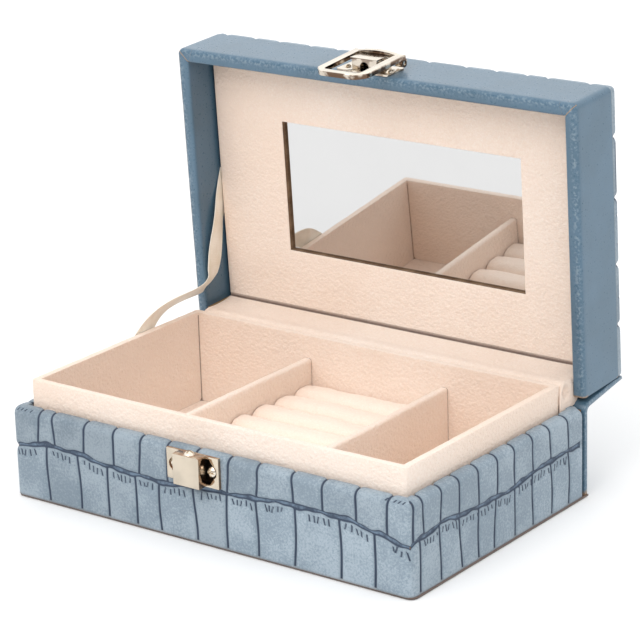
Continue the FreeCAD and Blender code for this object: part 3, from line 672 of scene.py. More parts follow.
def crocField(s, t, pattern, seed):
    # the distance to the nearest groove's edge and the depth pressed in, both in millimetres
    draw = random.Random(seed)
    lines = [makeWavyLine(corners) for corners in pattern["mains"]]
    gap = np.full(len(s), 9.0)
    depth = np.zeros(len(s))
    mainLine = np.zeros(len(s))
    plateToneAndLight = np.zeros(len(s))

    def press(distance, half, deepest, mask=None):
        nonlocal gap, depth
        edge = np.abs(distance) - half
        if mask is not None:
            edge = np.where(mask, edge, 9.0)
        gap = np.minimum(gap, edge)
        share = np.clip((np.abs(distance) if mask is None else np.where(mask, np.abs(distance), 9.0)) / (half * 1.9),
                        0, 1)
        depth = np.maximum(depth, deepest * (1 - share * share * (3 - 2 * share)))

    for line in lines:
        ragged = 1 + 0.26 * np.sin(s * 0.29 + 0.8) + 0.14 * np.sin(s * 0.83)
        away = (t - line(s)) / ragged
        press(away, pattern["mainHalf"], pattern["mainDepth"])
        mainLine = np.maximum(mainLine, np.clip(1 - np.abs(away) / pattern["mainHalf"], 0, 1))
    levels = [np.full(len(s), -999.0)] + [line(s) for line in lines] + [np.full(len(s), 999.0)]
    for row, places in enumerate(pattern["rows"]):
        inRow = (t > levels[row]) & (t <= levels[row + 1])
        cell = np.searchsorted(np.array(sorted(places)), s)
        tones = np.array([draw.uniform(-0.3, 0.3) for number in range(len(places) + 1)])
        # each plate has a random tone of its own, plus painted light: the first row (the lowest on the base) is painted
        # lighter and the rows above it darker
        plateToneAndLight = np.where(inRow, tones[cell] + (0.2 if row == 0 else -0.3), plateToneAndLight)
        for place in places:
            slant = draw.uniform(-0.045, 0.045)
            sway = draw.uniform(0.2, 0.7)
            phase = draw.uniform(0, 6.28)
            near = inRow & (np.abs(s - place) < 4)
            if not near.any():
                continue
            at = place + slant * (t - 25) + sway * np.sin(t * 0.17 + phase)
            press(s - at, pattern["lineHalf"], pattern["lineDepth"], near)
        if row < len(lines):
            edges = sorted(places)
            for left, right in zip(edges[:-1], edges[1:]):
                count = 5 if right - left > 12.5 else 4 if right - left > 10 else 3
                middle = (left + right) / 2 + draw.uniform(-1.0, 1.0)
                for number in range(count):
                    at = middle + (number - (count - 1) / 2) * draw.uniform(2.0, 2.4)
                    slant = draw.uniform(-0.35, 0.35)
                    start, reach = draw.uniform(1.5, 2.0), draw.uniform(2.2, 3.6)
                    below = levels[row + 1] - t
                    near = (np.abs(s - at) < 2.5) & (below > start) & (below < start + reach)
                    press(s - at - slant * (below - start), pattern["tickHalf"], pattern["tickDepth"], near)
    for place, height in pattern.get("rimTicks", []):
        near = (np.abs(t - height) < 1.3) & (np.abs(s - place) < 2)
        press(s - place - 0.4 * (t - height), pattern["tickHalf"], pattern["tickDepth"], near)
    # each scale swells a little between its grooves
    swell = pattern["swell"] * np.clip(1 - gap / 2.6, 0, 1) ** 2
    return np.clip(gap, -1, 3), depth + swell, mainLine, plateToneAndLight


baseWrap = dict(low=(-100, -62, 0.8), high=(100, 59, 39.4), wall=5.2, innerBack=55.4, cavityFloor=4.6, radius=3.5,
                lipRadius=0.6, cell=0.66)


def makeBaseWrap():
    low, high, wall = baseWrap["low"], baseWrap["high"], baseWrap["wall"]
    piece = addBlock("crocBaseWrap", low, high)
    pick(piece, "FACE", lambda c, f: f.normal.z > 0.9)
    bpy.ops.mesh.inset(thickness=wall * mm)
    bpy.ops.mesh.extrude_region_move(TRANSFORM_OT_translate={"value": (0, 0, (baseWrap["cavityFloor"] - high[2]) * mm)})
    leaveEdit()
    # the inset left the back wall as thick as the others; it is thinner in the box
    shape = points(piece)
    inner = (np.abs(shape[:, 0]) < 99) & (shape[:, 1] > 50) & (shape[:, 1] < 58)
    shape[inner, 1] = baseWrap["innerBack"]
    setPoints(piece, shape)
    roundEdges(piece, baseWrap["radius"], 6, lambda c, e: (
        (abs(abs(c.x) - high[0]) < 0.1 and abs(c.y - low[1]) < 0.1)
        or (abs(c.z - high[2]) < 0.1 and (abs(abs(c.x) - high[0]) < 0.1 or abs(c.y - low[1]) < 0.1))))
    roundEdges(piece, baseWrap["lipRadius"], 2, lambda c, e: abs(c.z - high[2]) < 0.1 and (
        abs(abs(c.x) - high[0] + wall) < 0.1 or abs(c.y - low[1] - wall) < 0.1)
        and abs(c.y - baseWrap["innerBack"]) > 0.1)
    for x in (-60, -20, 20, 60):
        cutAcross(piece, (x, 0, 0), (1, 0, 0))
    for y in (-20, 20):
        cutAcross(piece, (0, y, 0), (0, 1, 0))
    refine(piece, baseWrap["cell"], lambda c: c.y < 59.1 and (abs(c.x) > 94.5 or c.y < -56.5) and c.z > 0.7
           and not (abs(c.x) < 94.9 and c.y > -56.9 and c.z < 38.5))
    shape = points(piece)
    x, y, z = shape.T
    right, left, front = high[0] - x, high[0] + x, y - low[1]
    inward = np.minimum(np.minimum(right, left), front)
    onFront = front <= np.minimum(right, left) + 1e-6
    s = np.where(onFront, x, np.where(x > 0, high[0] + front, -high[0] - front))
    t = z + np.clip(inward, 0, 6)
    gap, depth, mainLine, plateToneAndLight = crocField(s, t, baseCroc, 11)
    # painted light: the croc is painted darker towards the left and lighter towards the right
    setField(piece, "plateToneAndLight", plateToneAndLight + np.clip(s / 100, -1, 1) * np.where(np.abs(s) < 100, 0.55, 0.2))
    outer = (inward < 5.25) & (y < 58.95) & (z > 0.82)
    depth = np.where(outer & ((z > 36) | (inward < 3.5)), depth, 0)
    setField(piece, "grooveGap", np.where(outer, gap, 3))
    setField(piece, "mainLine", mainLine * outer)
    setField(piece, "cutEdge", np.clip((1.5 - z) / 0.5, 0, 1) * 0.6)
    pressIn(piece, "grooves", depth)
    smoothShade(piece, 50)
    finishPiece(piece, crocLeather, "base", ["base_wrap"])
    print("base wrap", len(piece.data.polygons))


makeBaseWrap()


lidCroc = dict(
    mains=[[(-101, -42), (-70, -40), (-40, -43.5), (-8, -41), (30, -39.5), (62, -43), (101, -41)],
           [(-101, -15), (-66, -17), (-35, -13.5), (0, -15), (34, -17.5), (70, -14), (101, -15.5)],
           [(-101, 13), (-74, 11), (-42, 14.5), (-5, 12), (28, 14), (64, 11.5), (101, 13)],
           [(-101, 39), (-72, 41), (-36, 38), (0, 40.5), (36, 38.5), (70, 41), (101, 39)]],
    rows=[[-93, -78, -64, -48, -33, -19, -4, 11, 27, 42, 56, 72, 87],
          [-97, -87, -72, -57, -43, -28, -12, 3, 18, 33, 49, 63, 79, 90, 98.4],
          [-95, -80, -64, -50, -35, -20, -5, 9, 25, 40, 55, 70, 85],
          [-88, -74, -58, -42, -28, -13, 1, 17, 32, 46, 62, 77, 92],
          [-94, -79, -65, -50, -34, -20, -6, 10, 24, 39, 54, 70, 84]],
    mainHalf=1.0, lineHalf=0.5, tickHalf=0.34, mainDepth=0.7, lineDepth=0.45, tickDepth=0.3, swell=0.35)

lidPad = dict(low=(-99.7, -61.9, 66.26), high=(99.9, 61.9, 70.2), crown=1.9, slope=24.0, radius=1.8,
              cornerRadius=2.2, cell=0.7, cutsX=(-95.5, -60, -20, 20, 60, 95.5), cutsY=(-57.5, -20, 20, 57.5),
              sideGroove=68.7, sideNicks=(-49, -8, 4, 27))


def makeLidPad():
    low, high = lidPad["low"], lidPad["high"]
    piece = addBlock("crocLidPad", low, high)
    roundEdges(piece, lidPad["cornerRadius"], 4, lambda c, e: (
        abs(abs(c.x) - 99.8) < 0.2 and abs(c.y) > 61 and 67 < c.z < 69.5))
    roundEdges(piece, lidPad["radius"], 5, lambda c, e: abs(c.z - high[2]) < 0.05)
    for x in lidPad["cutsX"]:
        cutAcross(piece, (x, 0, 0), (1, 0, 0))
    for y in lidPad["cutsY"]:
        cutAcross(piece, (0, y, 0), (0, 1, 0))
    refine(piece, lidPad["cell"], lambda c: c.z > 66.3)
    shape = points(piece)
    x, y, z = shape.T
    side = np.minimum(99.7 - np.abs(x), np.minimum(y + 61.9, 61.6 - y))
    share = np.clip(side / lidPad["slope"], 0, 1)
    rise = lidPad["crown"] * np.sin(share * math.pi / 2)
    foam = softWaves(np.stack([x, y, z * 0], 1), 26, 0.35, 4) * share
    top = np.clip((z - low[2]) / (high[2] - low[2]), 0, 1)
    shape[:, 2] = z + (rise + foam) * top ** 2
    setPoints(piece, shape)
    gap, depth, mainLine, plateToneAndLight = crocField(x, y, lidCroc, 23)
    setField(piece, "plateToneAndLight", plateToneAndLight)
    # one groove runs along the side of the cover near the front, with short nicks beyond it
    onSide = np.abs(x) > 99.2
    sideLine = np.where(onSide & (y > -39) & (y < -12.5), np.abs(z - lidPad["sideGroove"]), 9.0)
    for nick in lidPad["sideNicks"]:
        sideLine = np.minimum(sideLine, np.where(onSide & (z > 68), np.abs(y - nick), 9.0))
    gap = np.minimum(gap, sideLine - 0.35)
    depth = np.maximum(depth, 0.35 * np.clip(1 - sideLine / 0.6, 0, 1))
    visible = z > 66.4
    setField(piece, "grooveGap", np.where(visible, gap, 3))
    setField(piece, "mainLine", mainLine * visible)
    setField(piece, "cutEdge", np.clip((66.6 - z) / 0.3, 0, 1) * 0.4)
    pressIn(piece, "grooves", np.where(visible, depth, 0))
    openLid(piece)
    smoothShade(piece, 50)
    finishPiece(piece, crocLeather, "lid", ["lid_top_cover"])
    print("lid pad", len(piece.data.polygons))


makeLidPad()


backFacing = dict(low=(-94.3, 55.28, 40.2), high=(94.3, 55.49, 56.0), cell=6)
lidWrap = dict(outer=100.0, front=-62.2, back=61.1, rim=40.03, top=66.23, wall=5.6, cornerRadius=2.5,
               rimRadius=1.6, innerRadius=0.9, cell=1.6)


def makeLidWrap():
    outer, front, back = lidWrap["outer"], lidWrap["front"], lidWrap["back"]
    rim, top, wall = lidWrap["rim"], lidWrap["top"], lidWrap["wall"]
    inner, innerFront = outer - wall, front + wall
    piece = addBlock("lidLeather", (-outer, front, rim), (outer, innerFront, top))
    for x in (-inner, inner):
        cutAcross(piece, (x, 0, 0), (1, 0, 0))
    pullFaces(piece, (0, back - innerFront, 0), lambda c, f: f.normal.y > 0.9 and abs(c.x) > inner)
    roundEdges(piece, lidWrap["cornerRadius"], 5, lambda c, e: abs(abs(c.x) - outer) < 0.1
               and abs(c.y - front) < 0.1 and abs(c.z - (rim + top) / 2) < 0.5)
    roundEdges(piece, lidWrap["rimRadius"], 4, lambda c, e: c.z < rim + 0.1 and c.y < back - 0.2 and (
        abs(c.x) > inner + 0.5 or c.y < innerFront - 0.5) and abs(max(abs(c.x) - outer, front - c.y)) < 1.0
        and not (abs(abs(c.x) - inner) < 0.1))
    roundEdges(piece, lidWrap["innerRadius"], 3, lambda c, e: c.z < rim + 0.1 and c.y < back - 0.2 and (
        (abs(abs(c.x) - inner) < 0.1 and c.y > innerFront + 0.1)
        or (abs(c.y - innerFront) < 0.1 and abs(c.x) < inner - 0.1)))
    refine(piece, lidWrap["cell"])
    shape = points(piece)
    x, y, z = shape.T
    # the leather wanders a little on its board
    waves = softWaves(shape, 9, 0.07, 2)
    shape[:, 2] += np.where(z < top - 1, waves, 0)
    shape[:, 0] -= np.sign(x) * np.abs(waves) * 0.8
    setPoints(piece, shape)
    mitre = (np.abs(x) - inner) + (y - innerFront)
    onRim = (z < rim + 3.0) & (np.abs(x) > inner - 1.5) & (y < innerFront + 1.5)
    setField(piece, "mitre", np.where(onRim, mitre, 9.0))
    # painted highlight: a band of glint dots along the rounded rim
    outside = np.minimum(outer - np.abs(x), y - front)
    nearRim = np.clip(1 - (z - rim) / 1.8, 0, 1)
    setField(piece, "rimGlint", nearRim * np.clip(1 - np.abs(outside - 1.4) / 2.2, 0, 1))
    footCorner = (y > back - 0.7) & ((z < rim + 1.8) | (z > top - 1.2))
    leftRim = np.clip((-98.9 - x) / 0.4, 0, 1) * (z < rim + 1.6) * 0.45
    setField(piece, "cutEdge", np.maximum(footCorner * 0.8, leftRim))
    crack = np.clip(1 - np.abs(mitre) / 0.9, 0, 1) * onRim * (z < rim + 1.6) * 0.3
    pressIn(piece, "mitres", crack)
    openLid(piece)
    smoothShade(piece, 45)
    finishPiece(piece, smoothLeather, "lid", ["lid_wrap"])
    # leathercloth facing on the inside of the hinge wall
    facing = addBlock("lidBackFacing", backFacing["low"], backFacing["high"])
    refine(facing, backFacing["cell"])
    openLid(facing)
    finishPiece(facing, smoothLeather, "lid", [])
    print("lid leather", len(piece.data.polygons))


makeLidWrap()


spine = dict(half=100.0, low=0.8, inner=61.1, outer=63.3, turnFrom=36.2, centre=(65.5, 36.2), turn=81.0, steps=10,
             end=91.0)


def makeSpine():
    piece = addBlock("spineLeather", (-spine["half"], spine["inner"], spine["low"]),
                     (spine["half"], spine["outer"], spine["turnFrom"]))
    pick(piece, "FACE", lambda c, f: f.normal.z > 0.9)
    bpy.ops.mesh.spin(steps=spine["steps"], angle=math.radians(spine["turn"]), axis=(1, 0, 0),
                      center=(0, spine["centre"][0] * mm, spine["centre"][1] * mm))
    leaveEdit()
    lean = math.radians(90 - spine["turn"])
    reach = (spine["end"] - spine["centre"][0]) / math.cos(lean)
    pullFaces(piece, (0, reach * math.cos(lean), reach * math.sin(lean)),
              lambda c, f: abs(c.y - spine["centre"][0]) < 1.2 and c.z > 38 and f.normal.y > 0.9)
    editWhole(piece)
    bpy.ops.mesh.remove_doubles(threshold=1e-6)
    bpy.ops.mesh.normals_make_consistent(inside=False)
    leaveEdit()
    roundEdges(piece, 0.4, 2, lambda c, e: abs(abs(c.x) - spine["half"]) < 0.05 and len(e.link_faces) == 2
               and e.calc_face_angle(0) > 1.0)
    refine(piece, 3.2)
    shape = points(piece)
    waves = softWaves(shape, 12, 0.16, 6)
    bend = np.clip(1 - np.abs(shape[:, 2] - 38) / 4, 0, 1) * (shape[:, 1] < 66)
    shape[:, 1] += waves * bend
    # it thins out towards the lid's top edge
    ceiling = 42.4 + (shape[:, 1] - 64) * 0.052
    shape[:, 2] = np.where(shape[:, 1] > 64, np.minimum(shape[:, 2], ceiling), shape[:, 2])
    setPoints(piece, shape)
    setField(piece, "mitre", np.full(len(shape), 9.0))
    # painted highlight: glint dots along the spine's side ends
    setField(piece, "rimGlint", np.clip((np.abs(shape[:, 0]) - 99.2) / 0.8, 0, 1) * 0.7)
    cut = (np.abs(shape[:, 0]) > 99.5) & (shape[:, 2] < 2.4)
    setField(piece, "cutEdge", cut * 0.8)
    smoothShade(piece, 40)
    piece.data.materials.append(smoothLeather)
    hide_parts("spine_lower_wrap", "hinge_leather", "spine_upper_wrap")
    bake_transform(piece)
    print("spine leather", len(piece.data.polygons))


makeSpine()


liner = dict(outer=93.6, front=-55.6, back=52.6, low=7.0, floor=9.0, top=50.0, wall=3.0, edge=1.0, cell=2.1)


def makeLiner():
    outer, front, back = liner["outer"], liner["front"], liner["back"]
    piece = addBlock("linerTray", (-outer, front, liner["low"]), (outer, back, liner["top"]))
    pick(piece, "FACE", lambda c, f: f.normal.z > 0.9)
    bpy.ops.mesh.inset(thickness=liner["wall"] * mm)
    bpy.ops.mesh.extrude_region_move(TRANSFORM_OT_translate={"value": (0, 0, (liner["floor"] - liner["top"]) * mm)})
    leaveEdit()
    roundEdges(piece, 1.3, 4, lambda c, e: abs(abs(c.x) - outer) < 0.1
               and min(abs(c.y - front), abs(c.y - back)) < 0.1 and 10 < c.z < 49)
    roundEdges(piece, liner["edge"], 4, lambda c, e: c.z > liner["top"] - 0.05)
    refine(piece, liner["cell"])
    shape = points(piece)
    x, y, z = shape.T
    waves = softWaves(shape, 11, 0.16, 3) + softWaves(shape, 4, 0.07, 8)
    inside = (np.abs(x) < outer - 2.0) & (y > front + 2.0) & (y < back - 2.0)
    rim = z > liner["top"] - 1.2
    pull = np.clip((z - 12) / 30, 0, 1)
    shape[:, 0] -= np.sign(x) * np.abs(waves) * 0.8 * (~inside) * (np.abs(x) > outer - 1.5)
    shape[:, 1] += np.sign(-y) * np.abs(waves) * 0.8 * (~inside) * ((y < front + 1.5) | (y > back - 1.5))
    shape[:, 2] -= np.abs(waves) * 0.9 * rim
    # long edges of the card dip a touch between the corners
    shape[:, 2] -= rim * 0.25 * (1 - (x / outer) ** 2) * pull
    setPoints(piece, shape)
    wall = liner["wall"]
    innerX, innerFront, innerBack = outer - wall, front + wall, back - wall
    corner = np.full(len(shape), 9.0)
    for cx in (-innerX, innerX):
        for cy in (innerFront, innerBack):
            corner = np.minimum(corner, np.hypot(x - cx, y - cy))
    floorLine = np.where(inside, np.hypot(z - liner["floor"], np.minimum(
        innerX - np.abs(x), np.minimum(y - innerFront, innerBack - y))), 9.0)
    low = z < liner["top"] - 1.2
    # painted shade in the inner corners and along the floor's edge
    setField(piece, "seamShadeGap", np.where(low, np.minimum(corner, floorLine + 0.3), 9.0))
    smoothShade(piece, 45)
    finishPiece(piece, velour, "base",
                ["liner_front_wall", "liner_back_wall", "liner_left_wall", "liner_right_wall", "liner_floor"])
    print("liner", len(piece.data.polygons))


makeLiner()

dividers = dict(places={"divider_left": (-32.6, -29.0), "divider_right": (37.5, 41.1)}, front=-52.6, back=49.6,
                low=9.0, top=39.7, edge=1.1, cell=2.1)


def makeDividers():
    for name, (x0, x1) in dividers["places"].items():
        piece = addBlock(name.replace("_l", "L").replace("_r", "R") + "Card", (x0, dividers["front"], dividers["low"]),
                         (x1, dividers["back"], dividers["top"]))
        roundEdges(piece, dividers["edge"], 4, lambda c, e: c.z > dividers["top"] - 0.05 and abs(c.y) < 45)
        refine(piece, dividers["cell"])
        shape = points(piece)
        x, y, z = shape.T
        middle = (x0 + x1) / 2
        waves = softWaves(shape, 8, 0.14, x0)
        bow = 0.35 * np.sin((y + 60) / 110 * math.pi * 1.1) * np.clip((z - 12) / 26, 0, 1)
        ends = np.clip(np.minimum(y - dividers["front"], dividers["back"] - y) / 8, 0, 1)
        shape[:, 0] += (np.sign(x - middle) * waves * 0.7 + (bow if x0 > 0 else -bow)) * ends
        shape[:, 2] -= np.abs(waves) * (z > dividers["top"] - 1.4)
        setPoints(piece, shape)
        seam = np.minimum(y - dividers["front"], dividers["back"] - y)
        # painted shade where the card meets the liner's walls and floor
        setField(piece, "seamShadeGap", np.minimum(seam, np.abs(z - dividers["low"]) + 0.1))
        smoothShade(piece, 45)
        finishPiece(piece, velour, "base", [name])


makeDividers()
print("dividers made")


rolls = dict(left=-28.85, right=37.35, front=-52.6, pitch=14.6, half=7.15, low=16.0, crest=30.7, count=7, radius=5.6,
             cell=1.25)


def makeRings():
    for number in range(rolls["count"]):
        middle = rolls["front"] + (number + 0.5) * rolls["pitch"]
        piece = addBlock("ringRoll" + str(number + 1), (rolls["left"], middle - rolls["half"], rolls["low"]),
                         (rolls["right"], middle + rolls["half"], rolls["crest"]))
        roundEdges(piece, rolls["radius"], 9, lambda c, e: c.z > rolls["crest"] - 0.05 and abs(c.x - 4.25) < 5)
        roundEdges(piece, 0.7, 3, lambda c, e: min(abs(c.x - rolls["left"]), abs(c.x - rolls["right"])) < 0.05
                   and c.z > rolls["low"] + 1)
        refine(piece, rolls["cell"])
        shape = points(piece)
        x, y, z = shape.T
        high = np.clip((z - 22) / 8, 0, 1)
        ends = np.clip(np.minimum(x - rolls["left"], rolls["right"] - x) / 9, 0, 1)
        fat = softWaves(np.stack([x, y * 0 + number * 40, y * 0], 1), 17, 0.7, number + 1)
        creases = softWaves(np.stack([x * 1.0, y * 0.35, z * 0.35], 1), 3.2, 0.28, number + 9)
        shape[:, 2] += high * (fat - 0.55 - (1 - ends ** 0.5) * 0.9 + creases * 0.6)
        shape[:, 1] += (y - middle) / rolls["half"] * high * (fat * 0.25 + creases * 0.4 - 0.25)
        shape[:, 1] = np.clip(shape[:, 1], middle - 7.25, middle + 7.25)
        shape[:, 2] = np.minimum(shape[:, 2], rolls["crest"] + 0.3)
        setPoints(piece, shape)
        # painted shade at the ends of the roll
        setField(piece, "seamShadeGap", np.minimum(np.minimum(x - rolls["left"], rolls["right"] - x), 9))
        smoothShade(piece, 60)
        finishPiece(piece, rollVelour, "base", ["ring_roll_" + str(number + 1)])


makeRings()
print("ring rolls made")


panel = dict(half=93.3, front=-56.5, back=55.4, face=55.03, rear=57.03, window=(-57.3, 63.5, -30.75, 27.45),
             edge=0.8, cell=2.6)


def makePanel():
    half, face, rear = panel["half"], panel["face"], panel["rear"]
    x0, x1, y0, y1 = panel["window"]
    piece = addBlock("mirrorPanel", (-half, panel["front"], face), (half, panel["back"], rear))
    for x in (x0, x1):
        cutAcross(piece, (x, 0, 0), (1, 0, 0))
    for y in (y0, y1):
        cutAcross(piece, (0, y, 0), (0, 1, 0))
    pick(piece, "FACE", lambda c, f: abs(f.normal.z) > 0.9 and x0 < c.x < x1 and y0 < c.y < y1)
    bpy.ops.mesh.bridge_edge_loops()
    leaveEdit()
    roundEdges(piece, panel["edge"], 4, lambda c, e: c.z < face + 0.05 and (
        abs(abs(c.x) - half) < 0.05 or min(abs(c.y - panel["front"]), abs(c.y - panel["back"])) < 0.05))
    onWindow = lambda c: x0 - 0.05 < c.x < x1 + 0.05 and y0 - 0.05 < c.y < y1 + 0.05
    roundEdges(piece, 0.3, 3, lambda c, e: c.z < face + 0.05 and onWindow(c))
    refine(piece, panel["cell"])
    shape = points(piece)
    x, y, z = shape.T
    window = np.maximum(np.maximum(x0 - x, x - x1), np.maximum(y0 - y, y - y1))
    edges = np.minimum(np.minimum(half - np.abs(x), np.minimum(y - panel["front"], panel["back"] - y)), window)
    soft = np.clip(edges / 5, 0, 1) * (z < face + 0.2)
    shape[:, 2] += (softWaves(shape, 17, 0.25, 5) + softWaves(shape, 5, 0.06, 12)) * soft
    setPoints(piece, shape)
    # painted shade along the panel's foot
    setField(piece, "seamShadeGap", np.clip(panel["back"] - 2.2 - y, 0, 9))
    piece.data.materials.append(velour)
    piece.data.materials.append(greyboard)
    for polygon in piece.data.polygons:
        middle = polygon.center / mm
        inWindow = x0 - 0.2 < middle.x < x1 + 0.2 and y0 - 0.2 < middle.y < y1 + 0.2
        if inWindow and middle.z > face + 0.25 and abs(polygon.normal.z) < 0.5:
            polygon.material_index = 1
    openLid(piece)
    smoothShade(piece, 45)
    finishPiece(piece, None, "lid", ["lid_panel"])
    print("mirror panel", len(piece.data.polygons))


makePanel()


# The run goes from behind the liner's back wall, over its top edge and back to the foot of the mirror panel.
lining = dict(left=-93.0, right=94.2, thick=0.5, columns=190, rows=34, turnRadius=1.3, hangingEnd=7.0,
              run=[(52.8, 42.0), (52.8, 47.5), (53.3, 49.6), (56.0, 50.2), (61.0, 49.7), (68.0, 49.95), (75.1, 50.3)],
              hem=[(53, 36.0), (56, 37.5), (62, 38.7), (64.8, 40.6), (66.5, 45.0), (75.1, 50.3)])


def makeLining():
    run = lining["run"]
    lengths = [0.0]
    for (y0, z0), (y1, z1) in zip(run[:-1], run[1:]):
        lengths.append(lengths[-1] + math.hypot(y1 - y0, z1 - z0))
    total = lengths[-1]
    deselectAll()
    bpy.ops.mesh.primitive_grid_add(x_subdivisions=lining["columns"], y_subdivisions=lining["rows"], size=1)
    piece = bpy.context.object
    piece.name = piece.data.name = "hingeLining"
    grid = points(piece) * mm
    across, along = grid[:, 0] + 0.5, grid[:, 1] + 0.5
    reach = along * total
    y = np.interp(reach, lengths, [p[0] for p in run])
    z = np.interp(reach, lengths, [p[1] for p in run])
    # the left end is cut short in a hollow curve, the right end turns down beside the lid's wall
    leftEdge = lining["left"] + 2.7 * (1 - np.clip((along - 0.3) / 0.7, 0, 1)) ** 0.6
    hem = np.interp(y, [place[0] for place in lining["hem"]], [place[1] for place in lining["hem"]])
    drop = np.maximum(z - hem, 0)
    radius = lining["turnRadius"]
    level = lining["right"] - radius - leftEdge
    arc = np.minimum(drop / radius, 1) * math.pi / 2 * radius
    course = across * (level + arc + np.maximum(drop - radius, 0))
    angle = np.clip((course - level) / radius, 0, math.pi / 2)
    x = leftEdge + np.minimum(course, level) + radius * np.sin(angle)
    z = z - radius * (1 - np.cos(angle)) - np.maximum(course - level - math.pi / 2 * radius, 0)
    free = np.clip((reach - 10) / 5, 0, 1) * np.clip((total - reach) / 4, 0, 1) * (angle < 0.1)
    rightEnd = np.clip((x - 70) / 22, 0, 1)
    leftEnd = np.clip((-66 - x) / 25, 0, 1)
    pucker = softWaves(np.stack([x * 1.0, y * 0.45, z * 0], 1), 7, 1.0, 14)
    fold = np.exp(-((x - 84 - (y - 60) * 0.25) / 3.2) ** 2) * 0.9
    z = z + free * (pucker * (0.25 + 1.0 * rightEnd + 0.5 * leftEnd) - 0.45 + fold * rightEnd * 1.1)
    dent = np.exp(-((y - 56.5) / 1.9) ** 2 - ((z - 46.0) / 2.4) ** 2)
    x = x - dent * 3.4 * (angle > 0.6)
    # its front edge laps round the liner's corner
    y = y - 1.4 * np.clip((54 - y) / 1.2, 0, 1) * (angle > 0.9)
    setPoints(piece, np.stack([x, y, z], 1))
    # painted shade at the end that meets the panel's foot
    setField(piece, "seamShadeGap", (total - reach) * 0.6)
    applyModifier(piece, "even", "SMOOTH", factor=0.5, iterations=4)
    applyModifier(piece, "wall", "SOLIDIFY", thickness=lining["thick"] * mm, offset=0)
    smoothShade(piece, 60)
    piece.data.materials.append(velour)
    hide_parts("hinge_lining")
    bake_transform(piece)
    print("hinge lining", round(total, 1))


makeLining()


# The run has centre places (x, y, z) from behind the liner wall up to the slot beside the mirror panel, and how far
# the ribbon is turned there.
ribbon = dict(width=10.0, thick=0.25, steps=120, columns=7, run=[
    (-94.1, 9.0, 41.5, 0), (-94.1, 17.0, 48.9, 0), (-94.0, 25.0, 54.3, 24), (-93.6, 33.5, 57.2, 42),
    (-93.4, 42.0, 58.0, 49), (-93.4, 50.5, 58.3, 49), (-93.4, 56.8, 58.8, 42), (-93.4, 62.5, 61.0, 20),
    (-93.5, 65.6, 66.6, 5), (-93.5, 67.3, 75.5, 4), (-93.3, 69.8, 87.0, 18), (-93.8, 73.0, 95.0, 6),
    (-93.9, 75.4, 101.0, 0), (-93.9, 78.0, 108.0, 0)])


def makeRibbon():
    run = ribbon["run"]
    deselectAll()
    curveData = bpy.data.curves.new("ribbonLine", "CURVE")
    curveData.dimensions = "3D"
    line = curveData.splines.new("NURBS")
    line.points.add(len(run) - 1)
    for point, (x, y, z, turn) in zip(line.points, run):
        point.co = (x * mm, y * mm, z * mm, 1)
        point.tilt = math.radians(turn)
    line.order_u = 3
    line.use_endpoint_u = True
    line.resolution_u = 10
    holder = bpy.data.objects.new("ribbonLine", curveData)
    bpy.context.collection.objects.link(holder)
    path = bpy.data.meshes.new_from_object(holder)
    centre = np.array([v.co for v in path.vertices]) / mm
    bpy.data.objects.remove(holder)
    bpy.data.meshes.remove(path)
    steps = np.linalg.norm(np.diff(centre, axis=0), axis=1)
    reach = np.concatenate([[0], np.cumsum(steps)])
    total = reach[-1]
    along = np.linspace(0, total, ribbon["steps"])
    line3d = np.stack([np.interp(along, reach, centre[:, k]) for k in range(3)], 1)
    near = [int(np.argmin(((centre - np.array(p[:3])) ** 2).sum(1))) for p in run]
    knots = reach[near]
    turn = np.radians(np.interp(along, knots, [p[3] for p in run]))
    turn = np.convolve(np.pad(turn, 6, mode="edge"), np.ones(13) / 13, mode="valid")
    bpy.ops.mesh.primitive_grid_add(x_subdivisions=ribbon["columns"] - 1, y_subdivisions=ribbon["steps"] - 1, size=1)
    piece = bpy.context.object
    piece.name = piece.data.name = "ribbonStay"
    grid = points(piece) * mm
    row = np.rint((grid[:, 1] + 0.5) * (ribbon["steps"] - 1)).astype(int)
    ahead = np.gradient(line3d, axis=0)
    ahead /= np.linalg.norm(ahead, axis=1)[:, None]
    flat = np.stack([ahead[:, 0] * 0, -ahead[:, 2], ahead[:, 1]], 1)
    flat /= np.linalg.norm(flat, axis=1)[:, None]
    sideways = np.cross(ahead, flat)
    across = flat * np.cos(turn)[:, None] + sideways * np.sin(turn)[:, None]
    cup = np.cross(ahead, across)
    place = grid[:, 0] * ribbon["width"]
    bowl = (grid[:, 0] ** 2 * 4 - 0.5) * 0.35 * np.sin(turn[row]) ** 2
    setPoints(piece, line3d[row] + across[row] * place[:, None] + cup[row] * bowl[:, None])
    piece.data.uv_layers.new(name="cloth")
    layer = piece.data.uv_layers["cloth"]
    for loop in piece.data.loops:
        index = loop.vertex_index
        layer.data[loop.index].uv = (float(place[index]) * mm, float(along[row[index]]) * mm)
    setField(piece, "edgeGap", ribbon["width"] / 2 - np.abs(place))
    applyModifier(piece, "wall", "SOLIDIFY", thickness=ribbon["thick"] * mm, offset=0)
    smoothShade(piece, 60)
    piece.data.materials.append(ribbonSatin)
    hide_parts("ribbon_stay")
    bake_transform(piece)
    print("ribbon", round(total, 1))


makeRibbon()


bottom = dict(low=(-99.8, -61.8, 0.0), high=(100.4, 63.3, 0.9), cell=7)


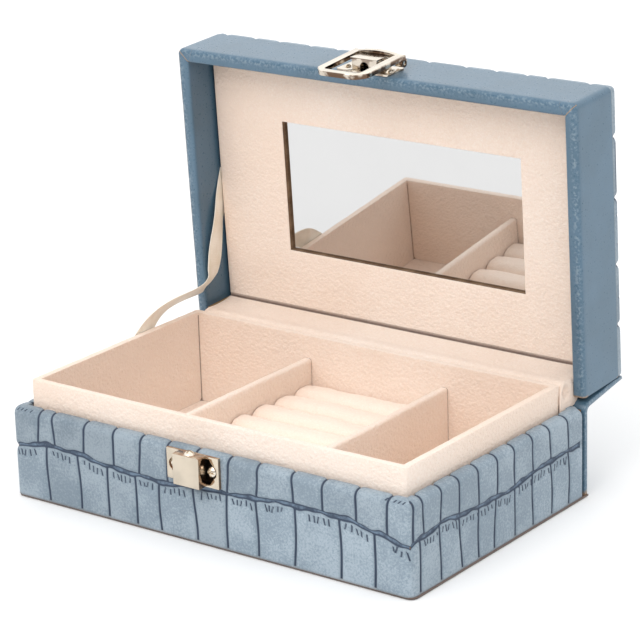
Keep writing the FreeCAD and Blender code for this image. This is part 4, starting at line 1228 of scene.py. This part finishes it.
def makeBottom():
    piece = addBlock("bottomSheet", bottom["low"], bottom["high"])
    roundEdges(piece, 3.3, 5, lambda c, e: abs(abs(c.x) - 100.1) < 0.4 and c.y < -61 and 0.2 < c.z < 0.7)
    roundEdges(piece, 0.3, 2, lambda c, e: c.z < 0.01)
    refine(piece, bottom["cell"])
    shape = points(piece)
    setField(piece, "mitre", np.full(len(shape), 9.0))
    setField(piece, "rimGlint", np.zeros(len(shape)))
    setField(piece, "cutEdge", np.clip((shape[:, 2] - 0.4) / 0.3, 0, 1) * 0.6)
    smoothShade(piece, 40)
    finishPiece(piece, bottomLeather, "base", ["bottom_cover"])


makeBottom()
print("bottom made")


hardware = dict(pieces={"catch_plate": ("catchPlate", "base", 0.22), "catch_housing": ("catchHousing", "base", 0.35),
                        "hasp_plate": ("haspPlate", "lid", 0.16), "hasp_bridge": ("haspBridge", "lid", 0.2),
                        "hasp_ring": ("haspRing", "hasp", 0.25)},
                shade={"catchPlate": 0.8, "catchHousing": 0.7, "haspPlate": 0.7, "haspBridge": 0.7,
                       "haspRing": 0.95})


def makeHardware():
    for nodeName, (name, body, edge) in hardware["pieces"].items():
        deselectAll()
        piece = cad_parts[nodeName].copy()
        piece.data = piece.data.copy()
        for key in list(piece.keys()):
            del piece[key]
        bpy.context.collection.objects.link(piece)
        piece.name = piece.data.name = name
        piece.parent = None
        piece.matrix_world = Matrix.Identity(4)
        editWhole(piece)
        bpy.ops.mesh.remove_doubles(threshold=2e-6)
        bpy.ops.mesh.dissolve_limited(angle_limit=math.radians(1.0))
        leaveEdit()
        if name == "haspRing":
            roundEdges(piece, 1.5, 4, lambda c, e: c.y < 46 and e.calc_length() > 1.2 * mm
                       and abs((e.verts[0].co - e.verts[1].co).normalized().z) > 0.9 and (abs(c.x + 1.8) > 8.5))
        applyModifier(piece, "softEdges", "BEVEL", width=edge * mm, segments=3, limit_method="ANGLE",
                      angle_limit=math.radians(32))
        # painted shade and reflection: faces turned away from each piece's face get the darker brown
        normals = np.array([v.normal for v in piece.data.vertices])
        facing = np.abs(normals[:, 1]) if body == "base" else np.abs(normals[:, 2])
        setField(piece, "sideShade", np.clip((0.88 - facing) / 0.3, 0, 1) * hardware["shade"][name])
        smoothShade(piece, 32)
        finishPiece(piece, catchGold if body == "base" else paleGold, body, [nodeName])
        if name == "catchPlate":
            # the sunk octagons are painted near-black, as painted shadow in the recesses
            piece.data.materials.append(recessShadow)
            for face in piece.data.polygons:
                middle = face.center / mm
                sunk = middle.y > -63.3 and abs(middle.z - 32.4) < 5.45
                if sunk and abs(middle.x - 3.5) < 5.9:
                    face.material_index = 1


makeHardware()
print("hardware made")
